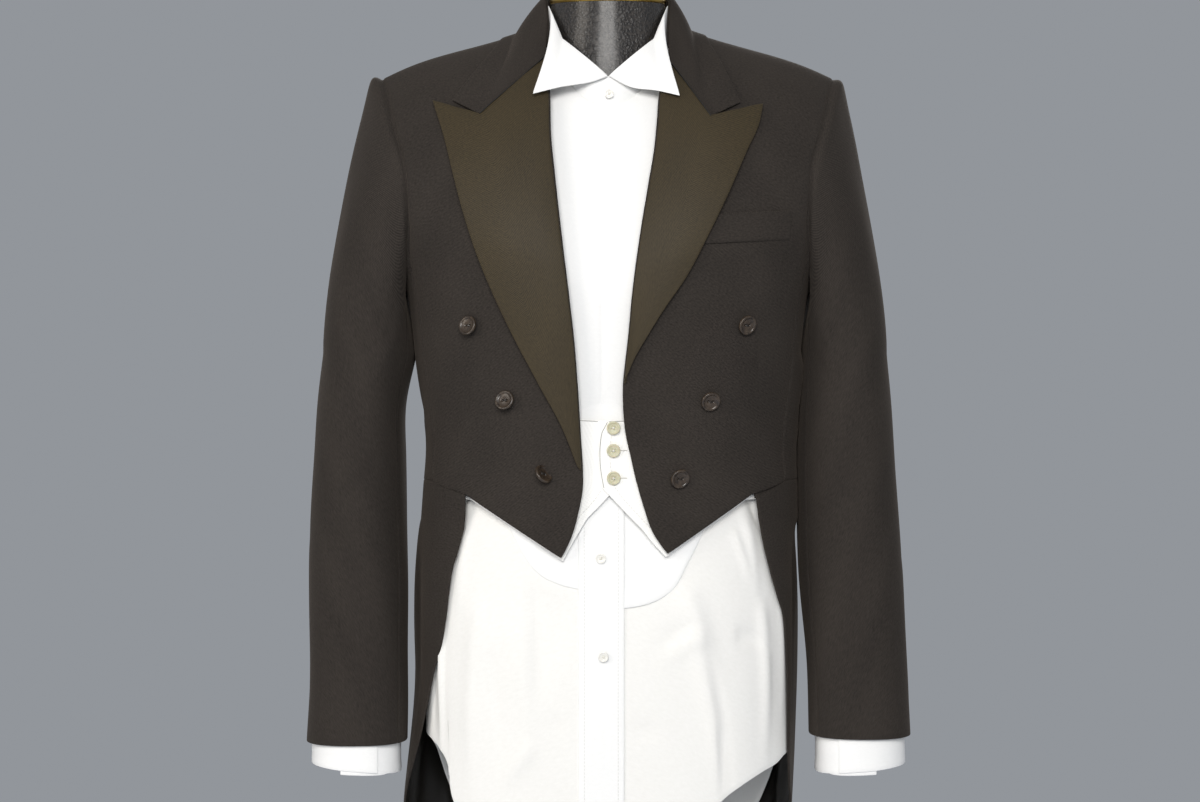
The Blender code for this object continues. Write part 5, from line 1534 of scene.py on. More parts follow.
def wings(settings):
    """The folded wings of the shirt's collar."""
    stiff = [finish_of(starched)]
    for side, name in NAMES.items():
        top_x, tip_x, tip_z, low_x, low_z = WING[side]
        v = np.linspace(0.0, 1.0, 40)
        x = 1.0 * MM + (top_x - 1.0 * MM) * (1.0 - v)
        turn = np.arcsin(x / (BAND_RADIUS + WING_CLEAR))
        y = NECK_Y - (BAND_DEPTH + WING_CLEAR) * np.cos(turn)
        fold = np.stack([x, y, band_top(x, y) + 0.4 * MM], -1)
        tip = np.array([tip_x, WING_TIP_Y, tip_z])
        low = np.array([low_x, NECK_Y - BAND_DEPTH - 1.6 * WING_CLEAR, low_z])
        last = fold[-1] + np.array([0.6 * MM, -0.6 * MM, -1.5 * MM])
        bottom = smooth_line([tip, tip * 0.55 + low * 0.45 + (0, 0, 1.0 * MM), low, last], 40)
        u = np.linspace(0.0, 1.0, 18)[None, :, None]
        face = fold[:, None] * (1 - u) + bottom[:, None] * u
        bow = 3.2 * MM * np.sin(math.pi * np.clip(u, 0, 1)) * (1.0 - v * 0.7)[:, None, None]
        face = face - bow * np.array([0.0, 1.0, 0.0])
        hollow = np.sin(math.pi * u ** 0.8) * np.clip(1.0 - v / 0.45, 0.0, 1.0)[:, None, None] ** 2
        face = face - WING_HOLLOW[side] * hollow * np.array([1.0, 0.0, 0.0])
        if side < 0:
            face = mirror(face)
        n = directions(face)
        n = n if n[..., 1].mean() < 0 else -n
        piece = shell("starched_wing_" + name, face, n, settings.cotton_thick, stiff)
        base = face[-1, 0] - face[0, 0]
        base = np.linalg.norm(base)
        sew(piece, ["wing_" + name])


# ---------------------------------------------------------------- waistcoat

# distance from the middle, height: the neck edge from the shoulder down to the level top edge
WAISTCOAT_NECK = ((0.0860, 1.4370), (0.0800, 1.350), (0.0740, 1.260), (0.0680, 1.160),
                  (0.0575, 1.098))
WAISTCOAT_CORNER = ((0.0575, 1.098), (0.0500, 1.078), (0.0380, 1.0672))
WAISTCOAT_ARM = ((0.1140, 1.4270), (0.1150, 1.350), (0.1250, 1.260), (0.1420, 1.180))
# the centre edges from the top edge down to the points, the left front lying over the right
WAISTCOAT_CENTRE = {
    1: ((-0.0022, 1.0657), (-0.0047, 1.0606), (-0.0073, 1.0551), (-0.0084, 1.0486),
        (-0.0083, 1.0207), (-0.0055, 1.0044)),
    -1: ((-0.0100, 1.0660), (-0.0100, 1.0350), (-0.0085, 1.0150), (-0.0050, 1.0020)),
}
WAISTCOAT_POINT = {
    1: ((-0.0055, 1.0044), (0.0006, 0.9984), (0.0092, 0.9898), (0.0247, 0.9742), (0.0340, 0.9650),
        (0.0402, 0.9572), (0.0550, 0.9412)),
    -1: ((-0.0050, 1.0020), (-0.0006, 0.9978), (0.0106, 0.9863), (0.0217, 0.9752), (0.0280, 0.9650),
         (0.0360, 0.9520), (0.0440, 0.9372)),
}
WAISTCOAT_SIDE = 100.0
# heights of the waist strap's upper and lower edges
WAIST_STRAP_Z = (1.052, 1.008)


def waistcoat(settings):
    """The fronts of the waistcoat, and the straps that hold them."""
    cut = Cut(COAT, WAISTCOAT_OUT, settings.pique_thick, [finish_of(marcella)], "white_pique",
              "draped", ["shirt_front_left", "shirt_front_right"], 0.6 * MM)
    out = WAISTCOAT_OUT
    strap = crest(COAT, 0.086, 0.114, out)
    for side, name in NAMES.items():
        neck = joined(front(COAT, WAISTCOAT_NECK, 60), front(COAT, WAISTCOAT_CORNER, 12),
                      front(COAT, (WAISTCOAT_CORNER[-1], WAISTCOAT_CENTRE[side][0]), 12))
        neck[0] = strap[0]
        top = joined(neck[::-1], strap)
        inner = joined(front(COAT, WAISTCOAT_CENTRE[side], 24),
                       front(COAT, WAISTCOAT_POINT[side], 24))
        inner[0] = top[0]
        arm = joined(front(COAT, WAISTCOAT_ARM, 50), around(((64.0, 1.150), (80.0, 1.110), (
            WAISTCOAT_SIDE, 1.090)), 30)[1:])
        seam = around(((WAISTCOAT_SIDE, 1.090), (WAISTCOAT_SIDE, 1.000)), 20)
        outer = joined(arm, seam)
        outer[0] = strap[-1]
        hem = joined(inner[-1:], front(COAT, (WAISTCOAT_POINT[side][-1], (0.1335, 0.9930)), 30)[1:],
                     seam[-1:])
        places = cut_places(top, hem, inner, outer, marks(110, 0.52))
        cut.panel("marcella_front_" + name, "waistcoat_" + name, places, marks(70, 0.20), side,
                  "o", (), 0.4 * MM, 0.08, 130 + side, overlapped if side > 0 else None,
                  hem=("tib", 0.3 * MM, 5.0 * MM))

    # the straps at the nape and the waist
    v = marks(8, 0.028)[:, None]
    edge_high = smooth_line([(0.086, 1.4370), (0.045, 1.4255), (0.0, 1.4200)], 40)
    edge_low = smooth_line([(0.114, 1.4275), (0.070, 1.4030), (0.0, 1.3920)], 40)
    line = edge_high[None] * (1 - v[..., None]) + edge_low[None] * v[..., None]
    phi = math.pi - COAT.angle(line[..., 0], line[..., 1])
    half = np.stack([phi, line[..., 1]], -1)
    far = half[:, -2::-1].copy()
    far[..., 0] = 2 * math.pi - far[..., 0]
    places = np.concatenate([half, far], axis=1)
    cut.panel("marcella_neck_strap", "waistcoat_neck_strap", places, marks(8, 0.028), 1, "", (),
              0.2 * MM, 0.05, 134)
    start = WAISTCOAT_SIDE + 0.3
    phi = np.radians(np.linspace(start, 360.0 - start, 90))[None, :]
    high, low = WAIST_STRAP_Z
    z = high + (low - high) * v
    places = np.stack([phi + 0 * z, z + 0 * phi], -1)
    cut.panel("marcella_waist_strap", "waistcoat_waist_strap", places, marks(10, 0.044), 1, "io",
              (), 0.3 * MM, 0.06, 135)


def overlapped(places):
    """The left front lies over the right near the middle."""
    return 1.6 * MM * np.clip(1.0 - (places[..., 0] - 0.12) / 0.25, 0.0, 1.0)


# ---------------------------------------------------------------- buttons and stitches

COAT_BUTTONS = {1: ((0.1263, 1.156), (0.0928, 1.0857), (0.0641, 1.0147)),
                -1: ((0.1272, 1.1533), (0.0936, 1.0839), (0.0650, 1.0129))}
# tilt from the cloth and the way it leans, in degrees, of each button on its thread
COAT_TILTS = {1: ((14, 200), (16, 190), (24, 215)), -1: ((22, 20), (26, 15), (62, -54))}
WAISTCOAT_BUTTON_X = 0.0049
WAISTCOAT_BUTTONS = (1.0600, 1.0390, 1.0136)
SHIRT_BUTTONS = ((-0.0069, 0.939), (-0.0045, 0.848))
BACK_BUTTON = (0.0600, 1.012)
# share of the radius, share of the thickness: a turned button's section, from its back's middle
BUTTON_SECTION = ((0.0, 0.0), (0.55, 0.0), (0.86, 0.03), (0.96, 0.22), (1.0, 0.50), (0.985, 0.78),
                  (0.93, 0.96), (0.86, 1.0), (0.79, 0.96), (0.72, 0.80), (0.62, 0.70), (0.0, 0.66))


def frame_at(spot, tilt=0.0, lean=0.0):
    """A spot's place and its across, up and out directions, tilted by an angle."""
    at, out = spot
    out = out / np.linalg.norm(out)
    across = np.cross((0.0, 0.0, 1.0), out) * -1.0
    across /= np.linalg.norm(across)
    up = np.cross(across, out) * -1.0
    lean = math.radians(lean)
    axis = across * math.cos(lean) + up * math.sin(lean)
    a = math.radians(tilt)

    def turn(v):
        """A direction turned about the tilt's axis."""
        return (v * math.cos(a) + np.cross(axis, v) * math.sin(a)
                + axis * np.dot(axis, v) * (1 - math.cos(a)))
    return at, turn(across), turn(up), turn(out)


def turned_grid(section, count):
    """Points of a turned solid: rows of the section, columns round the axis."""
    turn = 2 * math.pi * np.arange(count) / count
    r, h = section[:, :1], section[:, 1:]
    return np.stack([r * np.cos(turn), r * np.sin(turn), h + 0 * turn], -1)


def lathe(name, grid, materials):
    """A closed solid from a grid that starts and ends on its axis."""
    rows, cols = grid.shape[:2]
    number = np.arange(rows * cols).reshape(rows, cols)
    number = np.concatenate([number, number[:, :1]], axis=1)
    uv = np.stack(np.meshgrid(np.linspace(0, 1, cols + 1), np.linspace(0, 1, rows)), -1)
    return build(name, grid.reshape(-1, 3), [quads(number, uv) + (0,)], materials)


def button(name, spot, radius, thick, holes, made, sewn, slot, node, tilt=0.0, lean=0.0, stand=0.0):
    """A turned disc with a rim, sewn through its holes with a few turns of thread."""
    section = np.array(BUTTON_SECTION)
    run = lengths(section)
    section = through(run, section, np.linspace(0, run[-1], 40))
    section = np.maximum(section, 0.0) * (radius, thick)
    section[0, 0] = section[-1, 0] = 0.0
    grid = turned_grid(section, 56)
    spots = [(math.cos(a) * radius * 0.24, math.sin(a) * radius * 0.24)
             for a in (math.pi * 2 * k / holes + (0.6 if holes > 2 else 0.0) for k in range(holes))]
    face = grid[..., 2] > thick * 0.6
    for hx, hy in spots:
        gap = np.hypot(grid[..., 0] - hx, grid[..., 1] - hy)
        dip = np.clip(1.25 - gap / (radius * 0.13), 0.0, 1.0)
        grid[..., 2] -= np.where(face & (gap < radius * 0.3), dip * thick * 0.5, 0.0)
    at, across, up, out = frame_at(spot, tilt, lean)
    at = at + out * stand
    basis = np.stack([across, up, out])
    piece = lathe(name, grid @ basis + at, [made])
    place(piece, slot, node)
    ends = np.array(spots) if holes == 2 else np.array([spots[0], spots[2], spots[1], spots[3]])
    loops = []
    for a, b in zip(ends[::2], ends[1::2]):
        way = (b - a) / np.linalg.norm(b - a)
        for off in (-0.035, 0.035):
            shift = np.array([-way[1], way[0]]) * radius * off * 1.6
            t = np.linspace(0.0, 1.0, 9)
            path = np.concatenate([a + shift + np.outer(t, b - a),
                                   (thick * (0.50 + 0.34 * np.sin(math.pi * t)))[:, None]], axis=1)
            loops.append(path @ basis + at)
    place(cords(name + "_thread", loops, 0.22 * MM, sewn), slot)


def cords(name, paths, radius, made, sides=6):
    """Short threads along the given paths, in one mesh, each closed at its ends."""
    points, groups, total = [], [], 0
    turn = 2 * math.pi * np.arange(sides) / sides
    for path in paths:
        way = np.gradient(path, axis=0)
        way /= np.linalg.norm(way, axis=1, keepdims=True)
        side = np.cross(way, np.array([0.31, 0.77, 0.55]))
        side /= np.linalg.norm(side, axis=1, keepdims=True)
        up = np.cross(way, side)
        ring = side[:, None] * np.cos(turn)[:, None] + up[:, None] * np.sin(turn)[:, None]
        still = 0 * turn[:, None]
        size = np.full(len(path), radius)
        size[0] = size[-1] = radius * 0.7
        rings = np.concatenate([path[:1, None] + still, path[:, None] + ring * size[:, None, None],
                                path[-1:, None] + still])
        rows = len(rings)
        number = total + np.arange(rows * sides).reshape(rows, sides)
        number = np.concatenate([number, number[:, :1]], axis=1)
        uv = np.zeros(number.shape + (2,))
        groups.append(quads(number, uv) + (0,))
        points.append(rings.reshape(-1, 3))
        total += rows * sides
    return build(name, np.concatenate(points), groups, [made])


def on(body, phi, z, out):
    """A place on a surface and the way it faces there."""
    here = body.point(phi, z, out)
    across = body.point(phi + 0.02, z, out) - body.point(phi - 0.02, z, out)
    up = body.point(phi, z + 0.002, out) - body.point(phi, z - 0.002, out)
    return here, np.cross(across, up)


def coat_buttons(settings):
    """The coat's buttons, three a side and two behind."""
    dark, black = finish_of(horn), finish_of(thread, "black_button_thread", "1C1A19")
    radius = settings.coat_button / 2
    for side, name in NAMES.items():
        for row, ((x, z), (tilt, lean)) in enumerate(zip(COAT_BUTTONS[side], COAT_TILTS[side]), 1):
            phi = side * COAT.angle(x, z)
            rise = radius * math.sin(math.radians(tilt)) * 0.8
            button(f"horn_button_{name}_{row}", on(COAT, phi, z, 0.6 * MM), radius, 3.6 * MM, 2,
                   dark, black, "dark_button", f"coat_button_{name}_{row}", tilt, lean, rise)
        phi = side * (math.pi - COAT.angle(*BACK_BUTTON))
        button(f"horn_back_button_{name}", on(COAT, phi, BACK_BUTTON[1], 1.6 * MM), radius,
               3.6 * MM, 2, dark, black, "dark_button", f"back_button_{name}", 6, 40)


def linen_buttons(settings):
    """The buttons of the waistcoat and the shirt."""
    cream, shell_button = finish_of(corozo), finish_of(pearl)
    white = finish_of(thread, "white_button_thread", "EDEBE2")
    for row, z in enumerate(WAISTCOAT_BUTTONS, 1):
        phi = COAT.angle(WAISTCOAT_BUTTON_X, z)
        button(f"corozo_button_{row}", on(COAT, phi, z, WAISTCOAT_OUT + 2.4 * MM),
               settings.waistcoat_button / 2, 2.6 * MM, 4, cream, white, "cream_button",
               f"waistcoat_button_{row}", 4, 70 * row)
    for row, (x, z) in enumerate(SHIRT_BUTTONS, 1):
        phi = SHIRT.angle(x, z)
        button(f"pearl_button_{row}", on(SHIRT, phi, z, PLACKET_OUT + 0.3 * MM),
               settings.shirt_button / 2, 1.9 * MM, 4, shell_button, white, "white_button",
               f"shirt_button_{row}", 3, 50 * row)
    at = np.array([0.0009, NECK_Y - BAND_DEPTH - 2.2 * MM, 1.3740])
    button("pearl_collar_button", (at, np.array([0.0, -1.0, 0.0])), 4.2 * MM, 1.7 * MM, 4,
           shell_button, white, "white_button", "collar_button", 3, 20)


def stitched(name, body, line, out, made, slot, pitch=3.4 * MM, long=2.3 * MM, radius=0.20 * MM):
    """A row of stitches along a line of places."""
    path = body.point(line[:, 0], line[:, 1], out)
    run = lengths(path)
    starts = np.arange(pitch, run[-1] - pitch, pitch)
    paths = []
    for s in starts:
        at = np.linspace(s, s + long, 4)
        paths.append(np.stack([np.interp(at, run, path[:, k]) for k in range(3)], -1))
    place(cords(name, paths, radius, made, 5), slot)


def offset_line(line, amount):
    """A line of places moved sideways, to the right of the way it runs, by an amount."""
    metric = line * METRIC
    way = np.gradient(metric, axis=0)
    way /= np.maximum(np.linalg.norm(way, axis=1, keepdims=True), 1e-9)
    moved = metric + np.stack([way[:, 1], -way[:, 0]], -1) * amount
    return moved / METRIC


def stitches():
    """Stitches, buttonholes, and cords of painted shadow at the waistcoat's edges and the gorges.
    """
    white = finish_of(thread, "white_stitch_thread", "D6D5D0")
    out = WAISTCOAT_OUT + 2.0 * MM
    edge = joined(front(COAT, WAISTCOAT_CENTRE[1], 40), front(COAT, WAISTCOAT_POINT[1], 40)[1:])
    stitched("waistcoat_edge_stitches", COAT, offset_line(edge, -5.0 * MM), out, white,
             "white_pique")
    # painted shadow: grey cords lie along the waistcoat's top edge and the left front's edge, where
    # a shadow line falls
    grey = finish_of(thread, "grey_edge_shadow_thread", "A9A8A4")
    edge_shadows = [COAT.point(line[:, 0], line[:, 1], out) for line in (
        offset_line(front(COAT, WAISTCOAT_CENTRE[1], 40), -0.6 * MM),
        front(COAT, ((0.0, 1.0657), (0.0180, 1.0664), (0.0380, 1.0672)), 20))]
    low = front(COAT, ((0.0100, 1.0660), (0.0240, 1.0666), (0.0380, 1.0672)), 20)
    edge_shadows.append(mirror(COAT.point(low[:, 0], low[:, 1], WAISTCOAT_OUT + 0.4 * MM)))
    place(cords("waistcoat_edge_painted_shadows", edge_shadows, 0.35 * MM, grey), "white_pique")
    out = WAISTCOAT_OUT + 0.5 * MM
    edge = front(COAT, WAISTCOAT_POINT[-1][:-1], 40)
    line = offset_line(edge, -5.0 * MM)
    line[:, 0] *= -1.0
    stitched("waistcoat_under_stitches", COAT, line, out, white, "white_pique")
    holes = []
    for z in WAISTCOAT_BUTTONS[1:]:
        x = np.linspace(WAISTCOAT_BUTTON_X + 5.5 * MM, WAISTCOAT_BUTTON_X + 13.0 * MM, 8)
        holes.append(COAT.point(COAT.angle(x, z), z, WAISTCOAT_OUT + 1.9 * MM))
    place(cords("waistcoat_buttonholes", holes, 0.35 * MM,
                finish_of(thread, "grey_silk_twist", "B9B6AE")),
          "white_pique")
    # painted shadow: black cords lie along the gorges, where the crease between collar and lapel is
    # in shade
    gorge_shadows = []
    for side in NAMES:
        rise = 1.7 * MM + 2.2 * MM * np.sin(np.linspace(0.0, 0.55, 30) * math.pi)
        seam = on_coat((ROLL[side][0], NOTCH[side]), LAPEL_OUT + rise, 30)
        seam[:, 2] -= GORGE_GAP / 2
        gorge_shadows.append(seam if side > 0 else mirror(seam))
    place(cords("gorge_painted_shadows", gorge_shadows, 0.5 * MM, finish_of(thread, "black_gorge_shadow_thread", "060606")),
          "black_wool")
    z = np.linspace(1.060, 0.668, 80)
    for name, u in (("inner", -1), ("outer", 1)):
        x = np.full(80, PLACKET_X + u * (PLACKET_HALF - 5.0 * MM))
        line = np.stack([SHIRT.angle(x, z), z], -1)
        settle = BOSOM_OUT * at_skirt(z)
        stitched("placket_stitches_" + name, SHIRT, line, PLACKET_OUT + 0.1 * MM - settle, white,
                 "white_shirting")


# ---------------------------------------------------------------- form and stand

NECK_RADIUS = 0.0555
NECK_TOP_Z = 1.4695
NECK_TILT = 0.10
FORM_BOTTOM_Z = 0.840
BASE_RADIUS = 0.165
BASE_HEIGHT = 0.022
POLE_RADIUS = 0.016


def tilted(grid):
    """A turned grid moved to the neck's axis, its front dropped by the neck's tilt."""
    grid = grid.copy()
    grid[..., 2] += NECK_TILT * grid[..., 1]
    return grid + np.array([0.0, NECK_Y, 0.0])


def form():
    """The covered torso with its neck, ring and cap."""
    vinyl = finish_of(leatherette)
    cols, levels = 128, 64
    phi = 2 * math.pi * np.arange(cols) / cols
    x = FORM.point(phi, np.full(cols, 1.30))[:, 0]
    top = FORM.ridge(x) - 0.2 * MM
    share = 1.0 - (1.0 - np.linspace(0.0, 1.0, levels)) ** 1.5
    z = FORM_BOTTOM_Z + (top - FORM_BOTTOM_Z)[None] * share[:, None]
    rows = FORM.point(phi[None] + 0 * z, z)
    under = rows[:1] * (0.0, 0.0, 1.0)
    tuck = rows[0][None] * (0.93, 0.93, 1.0) - (0.0, 0.0, 5.0 * MM)
    rows = np.concatenate([under - (0.0, 0.0, 5.0 * MM), tuck, rows])
    count = len(rows)
    number = np.arange(count * cols).reshape(count, cols)
    wide = np.concatenate([number, number[:, :1]], axis=1)
    uv = np.zeros(wide.shape + (2,))
    last = number[-1]
    half, quarter = cols // 2, cols // 4
    j = np.arange(-quarter, quarter)
    cap = np.stack([last[j % cols], last[(j + 1) % cols], last[(half - j - 1) % cols],
                    last[(half - j) % cols]], -1)
    torso = build("form_join", rows.reshape(-1, 3),
                  [quads(wide, uv) + (0,), (cap, np.zeros((len(cap), 4, 2)), 0)], [vinyl])
    section = np.array([(0.0, 1.25), (NECK_RADIUS, 1.25), (NECK_RADIUS, 1.35), (NECK_RADIUS, 1.455),
                        (NECK_RADIUS, NECK_TOP_Z), (0.0, NECK_TOP_Z)])
    neck = lathe("neck_join", tilted(turned_grid(section, 96)), [vinyl])
    join = torso.modifiers.new("neck", "BOOLEAN")
    join.operation = "UNION"
    join.solver = "EXACT"
    join.object = neck
    graph = bpy.context.evaluated_depsgraph_get()
    mesh = bpy.data.meshes.new_from_object(torso.evaluated_get(graph))
    mesh.name = "vinyl_form"
    for piece in (torso, neck):
        bpy.data.objects.remove(piece, do_unlink=True)
    mesh.set_sharp_from_angle(angle=math.radians(40.0))
    whole = bpy.data.objects.new("vinyl_form", mesh)
    bpy.context.scene.collection.objects.link(whole)
    place(whole, "form_cover", "form_torso")

    ring = smooth_line([(NECK_RADIUS - 6 * MM, NECK_TOP_Z + 0.4 * MM),
                        (NECK_RADIUS, NECK_TOP_Z + 0.4 * MM),
                        (NECK_RADIUS + 1.2 * MM, NECK_TOP_Z + 3.2 * MM),
                        (NECK_RADIUS - 0.4 * MM, NECK_TOP_Z + 6.2 * MM),
                        (NECK_RADIUS - 6 * MM, NECK_TOP_Z + 6.4 * MM)], 30)
    ring = np.concatenate([[(0.0, ring[0, 1])], ring, [(0.0, ring[-1, 1])]])
    place(lathe("brass_neck_ring", tilted(turned_grid(ring, 96)), [finish_of(brass)]), "brass_trim",
          "neck_ring")
    cap = smooth_line([(NECK_RADIUS - 0.8 * MM, NECK_TOP_Z + 6.8 * MM),
                       (NECK_RADIUS - 1.2 * MM, NECK_TOP_Z + 10 * MM),
                       (NECK_RADIUS - 5 * MM, NECK_TOP_Z + 16 * MM),
                       (NECK_RADIUS - 20 * MM, NECK_TOP_Z + 19.4 * MM),
                       (0.0, NECK_TOP_Z + 20 * MM)], 36)
    cap = np.concatenate([[(0.0, cap[0, 1])], cap])
    place(lathe("vinyl_neck_cap", tilted(turned_grid(cap, 96)), [vinyl]), "form_cover", "neck_cap")


def stand():
    """The round base and the pole."""
    paint = finish_of(enamel)
    base = smooth_line([(BASE_RADIUS - 1 * MM, 0.0), (BASE_RADIUS, 2 * MM),
                        (BASE_RADIUS, BASE_HEIGHT * 0.6),
                        (BASE_RADIUS - 5 * MM, BASE_HEIGHT - 1 * MM),
                        (BASE_RADIUS - 20 * MM, BASE_HEIGHT)], 40)
    base = np.concatenate([[(0.0, 0.0)], base, [(0.0, BASE_HEIGHT)]])
    place(lathe("enamel_base", turned_grid(base, 128), [paint]), "stand_metal", "base")
    foot = BASE_HEIGHT + 0.3 * MM
    pole = smooth_line([(POLE_RADIUS + 12 * MM, foot), (POLE_RADIUS + 12 * MM, foot + 5 * MM),
                        (POLE_RADIUS + 4 * MM, foot + 12 * MM), (POLE_RADIUS, foot + 22 * MM)], 30)
    rest = np.array([(POLE_RADIUS, z)
                     for z in np.linspace(foot + 30 * MM, FORM_BOTTOM_Z - 5.5 * MM, 20)])
    pole = np.concatenate([[(0.0, foot)], pole, rest, [(0.0, rest[-1, 1])]])
    place(lathe("enamel_pole", turned_grid(pole, 64), [paint]), "stand_metal", "pole")


# ---------------------------------------------------------------- stage

CAMERA_AWAY = 2.2
CAMERA_X = -0.0078
CAMERA_Z = 1.0848
SENSOR_MM = 36.0
# width of the view at the form's middle
VIEW_WIDTH = 1200 * 0.97 * MM


def area_light(name, at, aim, size, power, colour="FFFFFF"):
    """A lamp at a place, turned to face another."""
    data = bpy.data.lights.new(name, "AREA")
    data.shape = "RECTANGLE"
    data.size, data.size_y = size
    data.energy = power
    data.color = linear(colour)
    lamp = bpy.data.objects.new(name, data)
    bpy.context.scene.collection.objects.link(lamp)
    lamp.location = at
    lamp.rotation_euler = (Vector(aim) - Vector(at)).to_track_quat("-Z", "Y").to_euler()


def stage(settings):
    """The floor, the room, the lamps and the camera."""
    scene = bpy.context.scene
    made, tree, shader = begin("floor_matt_paint", Roughness=0.9, IOR=1.45)
    spot = add(tree, "ShaderNodeTexCoord").outputs["Object"]
    tone = toned(tree, noise(tree, spot, 2.0, 3.0), "C9CED6", "D3D7DE")
    tree.links.new(tone, shader.inputs["Base Color"])
    section = np.array([(0.0, -0.02), (3.0, -0.02), (3.0, -0.0004), (0.0, -0.0004)])
    floor = lathe("floor", turned_grid(section, 96), [made])

    world = bpy.data.worlds.new("soft_room")
    world.use_nodes = True
    back = world.node_tree.nodes["Background"]
    back.inputs["Color"].default_value = linear("C4C9D0") + (1.0,)
    back.inputs["Strength"].default_value = settings.room_light
    scene.world = world
    scene.view_settings.view_transform = "Standard"

    area_light("key", (-0.1, -3.2, 2.3), (0.0, 0.0, 1.1), (1.7, 1.3), settings.key_light, "FFFDFA")
    area_light("window", (-2.5, -1.9, 1.7), (0.0, 0.0, 1.05), (1.2, 1.8), settings.fill_light,
               "FFF6EA")
    area_light("wall", (2.6, -1.3, 1.4), (0.0, 0.0, 1.0), (1.2, 1.8), settings.wall_light, "FFF4E6")
    area_light("back", (0.6, 2.6, 2.4), (0.0, 0.0, 1.1), (2.0, 1.0), settings.back_light)

    data = bpy.data.cameras.new("camera")
    camera = bpy.data.objects.new("camera", data)
    scene.collection.objects.link(camera)
    data.sensor_width = SENSOR_MM
    data.lens = SENSOR_MM * CAMERA_AWAY / VIEW_WIDTH
    camera.location = (CAMERA_X, -CAMERA_AWAY, CAMERA_Z)
    camera.rotation_euler = (math.pi / 2, 0.0, 0.0)
    scene.camera = camera


# ---------------------------------------------------------------- settings, operators and panel

class TailcoatSettings(bpy.types.PropertyGroup):
    """Sizes of the coat's cloth and buttons."""
    wool_thick: FloatProperty(name="Wool thickness",
                              description="Thickness of the coat's cloth and lining",
                              default=2.0 * MM, min=1.0 * MM, max=3.0 * MM, unit="LENGTH")
    satin_thick: FloatProperty(name="Satin thickness",
                               description="Thickness of the lapels' facing",
                               default=1.4 * MM, min=0.8 * MM, max=2.0 * MM, unit="LENGTH")
    seam_depth: FloatProperty(name="Seam depth",
                              description="How far the cloth sinks beside a seam",
                              default=1.1 * MM, min=0.0, max=2.0 * MM, unit="LENGTH")
    coat_button: FloatProperty(name="Coat button", description="Diameter of a coat button",
                               default=18.6 * MM, min=12 * MM, max=25 * MM, unit="LENGTH")


class LinenSettings(bpy.types.PropertyGroup):
    """Sizes of the shirt's and the waistcoat's cloth and buttons."""
    cotton_thick: FloatProperty(name="Cotton thickness",
                                description="Thickness of the shirt's cloth",
                                default=0.9 * MM, min=0.5 * MM, max=1.5 * MM, unit="LENGTH")
    cuff_thick: FloatProperty(name="Cuff thickness", description="Thickness of the starched cuffs",
                              default=1.2 * MM, min=0.8 * MM, max=2.0 * MM, unit="LENGTH")
    pique_thick: FloatProperty(name="Pique thickness",
                               description="Thickness of the waistcoat's cloth",
                               default=1.3 * MM, min=0.8 * MM, max=2.0 * MM, unit="LENGTH")
    waistcoat_button: FloatProperty(name="Waistcoat button",
                                    description="Diameter of a waistcoat button",
                                    default=12.6 * MM, min=9 * MM, max=16 * MM, unit="LENGTH")
    shirt_button: FloatProperty(name="Shirt button", description="Diameter of a shirt button",
                                default=9.6 * MM, min=7 * MM, max=12 * MM, unit="LENGTH")


class StageSettings(bpy.types.PropertyGroup):
    """Strength of the room's and the lamps' light."""
    room_light: FloatProperty(name="Room light", description="Strength of the light from all round",
                              default=0.52, min=0.0, max=3.0)
    key_light: FloatProperty(name="Key lamp", description="Power of the broad lamp in front",
                             default=82.0, min=0.0, max=600.0, unit="POWER")
    fill_light: FloatProperty(name="Window", description="Power of the light from the left",
                              default=26.0, min=0.0, max=600.0, unit="POWER")
    wall_light: FloatProperty(name="Wall",
                              description="Power of the light thrown back on the right",
                              default=3.0, min=0.0, max=600.0, unit="POWER")
    back_light: FloatProperty(name="Back lamp", description="Power of the lamp behind",
                              default=30.0, min=0.0, max=600.0, unit="POWER")


class TAILCOAT_OT_coat_body(bpy.types.Operator):
    """Foreparts and side bodies of the coat"""
    bl_idname = "tailcoat.coat_body"
    bl_label = "Coat body"

    def execute(self, context):
        coat_body(context.scene.tailcoat_cloth)
        return {"FINISHED"}


class TAILCOAT_OT_coat_backs(bpy.types.Operator):
    """The coat's two backs, lapped below the waist"""
    bl_idname = "tailcoat.coat_backs"
    bl_label = "Coat backs"

    def execute(self, context):
        coat_backs(context.scene.tailcoat_cloth)
        return {"FINISHED"}


class TAILCOAT_OT_tails(bpy.types.Operator):
    """The tails, from the waist seam round to the back"""
    bl_idname = "tailcoat.tails"
    bl_label = "Tails"

    def execute(self, context):
        tail_skirts(context.scene.tailcoat_cloth)
        return {"FINISHED"}


class TAILCOAT_OT_lapels(bpy.types.Operator):
    """Satin peak lapels"""
    bl_idname = "tailcoat.lapels"
    bl_label = "Lapels"

    def execute(self, context):
        lapels(context.scene.tailcoat_cloth)
        return {"FINISHED"}


class TAILCOAT_OT_collar(bpy.types.Operator):
    """The coat collar's leaf and stand"""
    bl_idname = "tailcoat.collar"
    bl_label = "Coat collar"

    def execute(self, context):
        collar(context.scene.tailcoat_cloth)
        return {"FINISHED"}


class TAILCOAT_OT_pocket(bpy.types.Operator):
    """Welt of the breast pocket"""
    bl_idname = "tailcoat.pocket"
    bl_label = "Breast pocket"

    def execute(self, context):
        breast_pocket(context.scene.tailcoat_cloth)
        return {"FINISHED"}


class TAILCOAT_OT_sleeves(bpy.types.Operator):
    """Two-piece coat sleeves"""
    bl_idname = "tailcoat.sleeves"
    bl_label = "Coat sleeves"

    def execute(self, context):
        coat_sleeves(context.scene.tailcoat_cloth)
        return {"FINISHED"}


class TAILCOAT_OT_shirt(bpy.types.Operator):
    """Fronts and backs of the shirt"""
    bl_idname = "tailcoat.shirt"
    bl_label = "Shirt body"

    def execute(self, context):
        shirt_body(context.scene.tailcoat_linen)
        return {"FINISHED"}


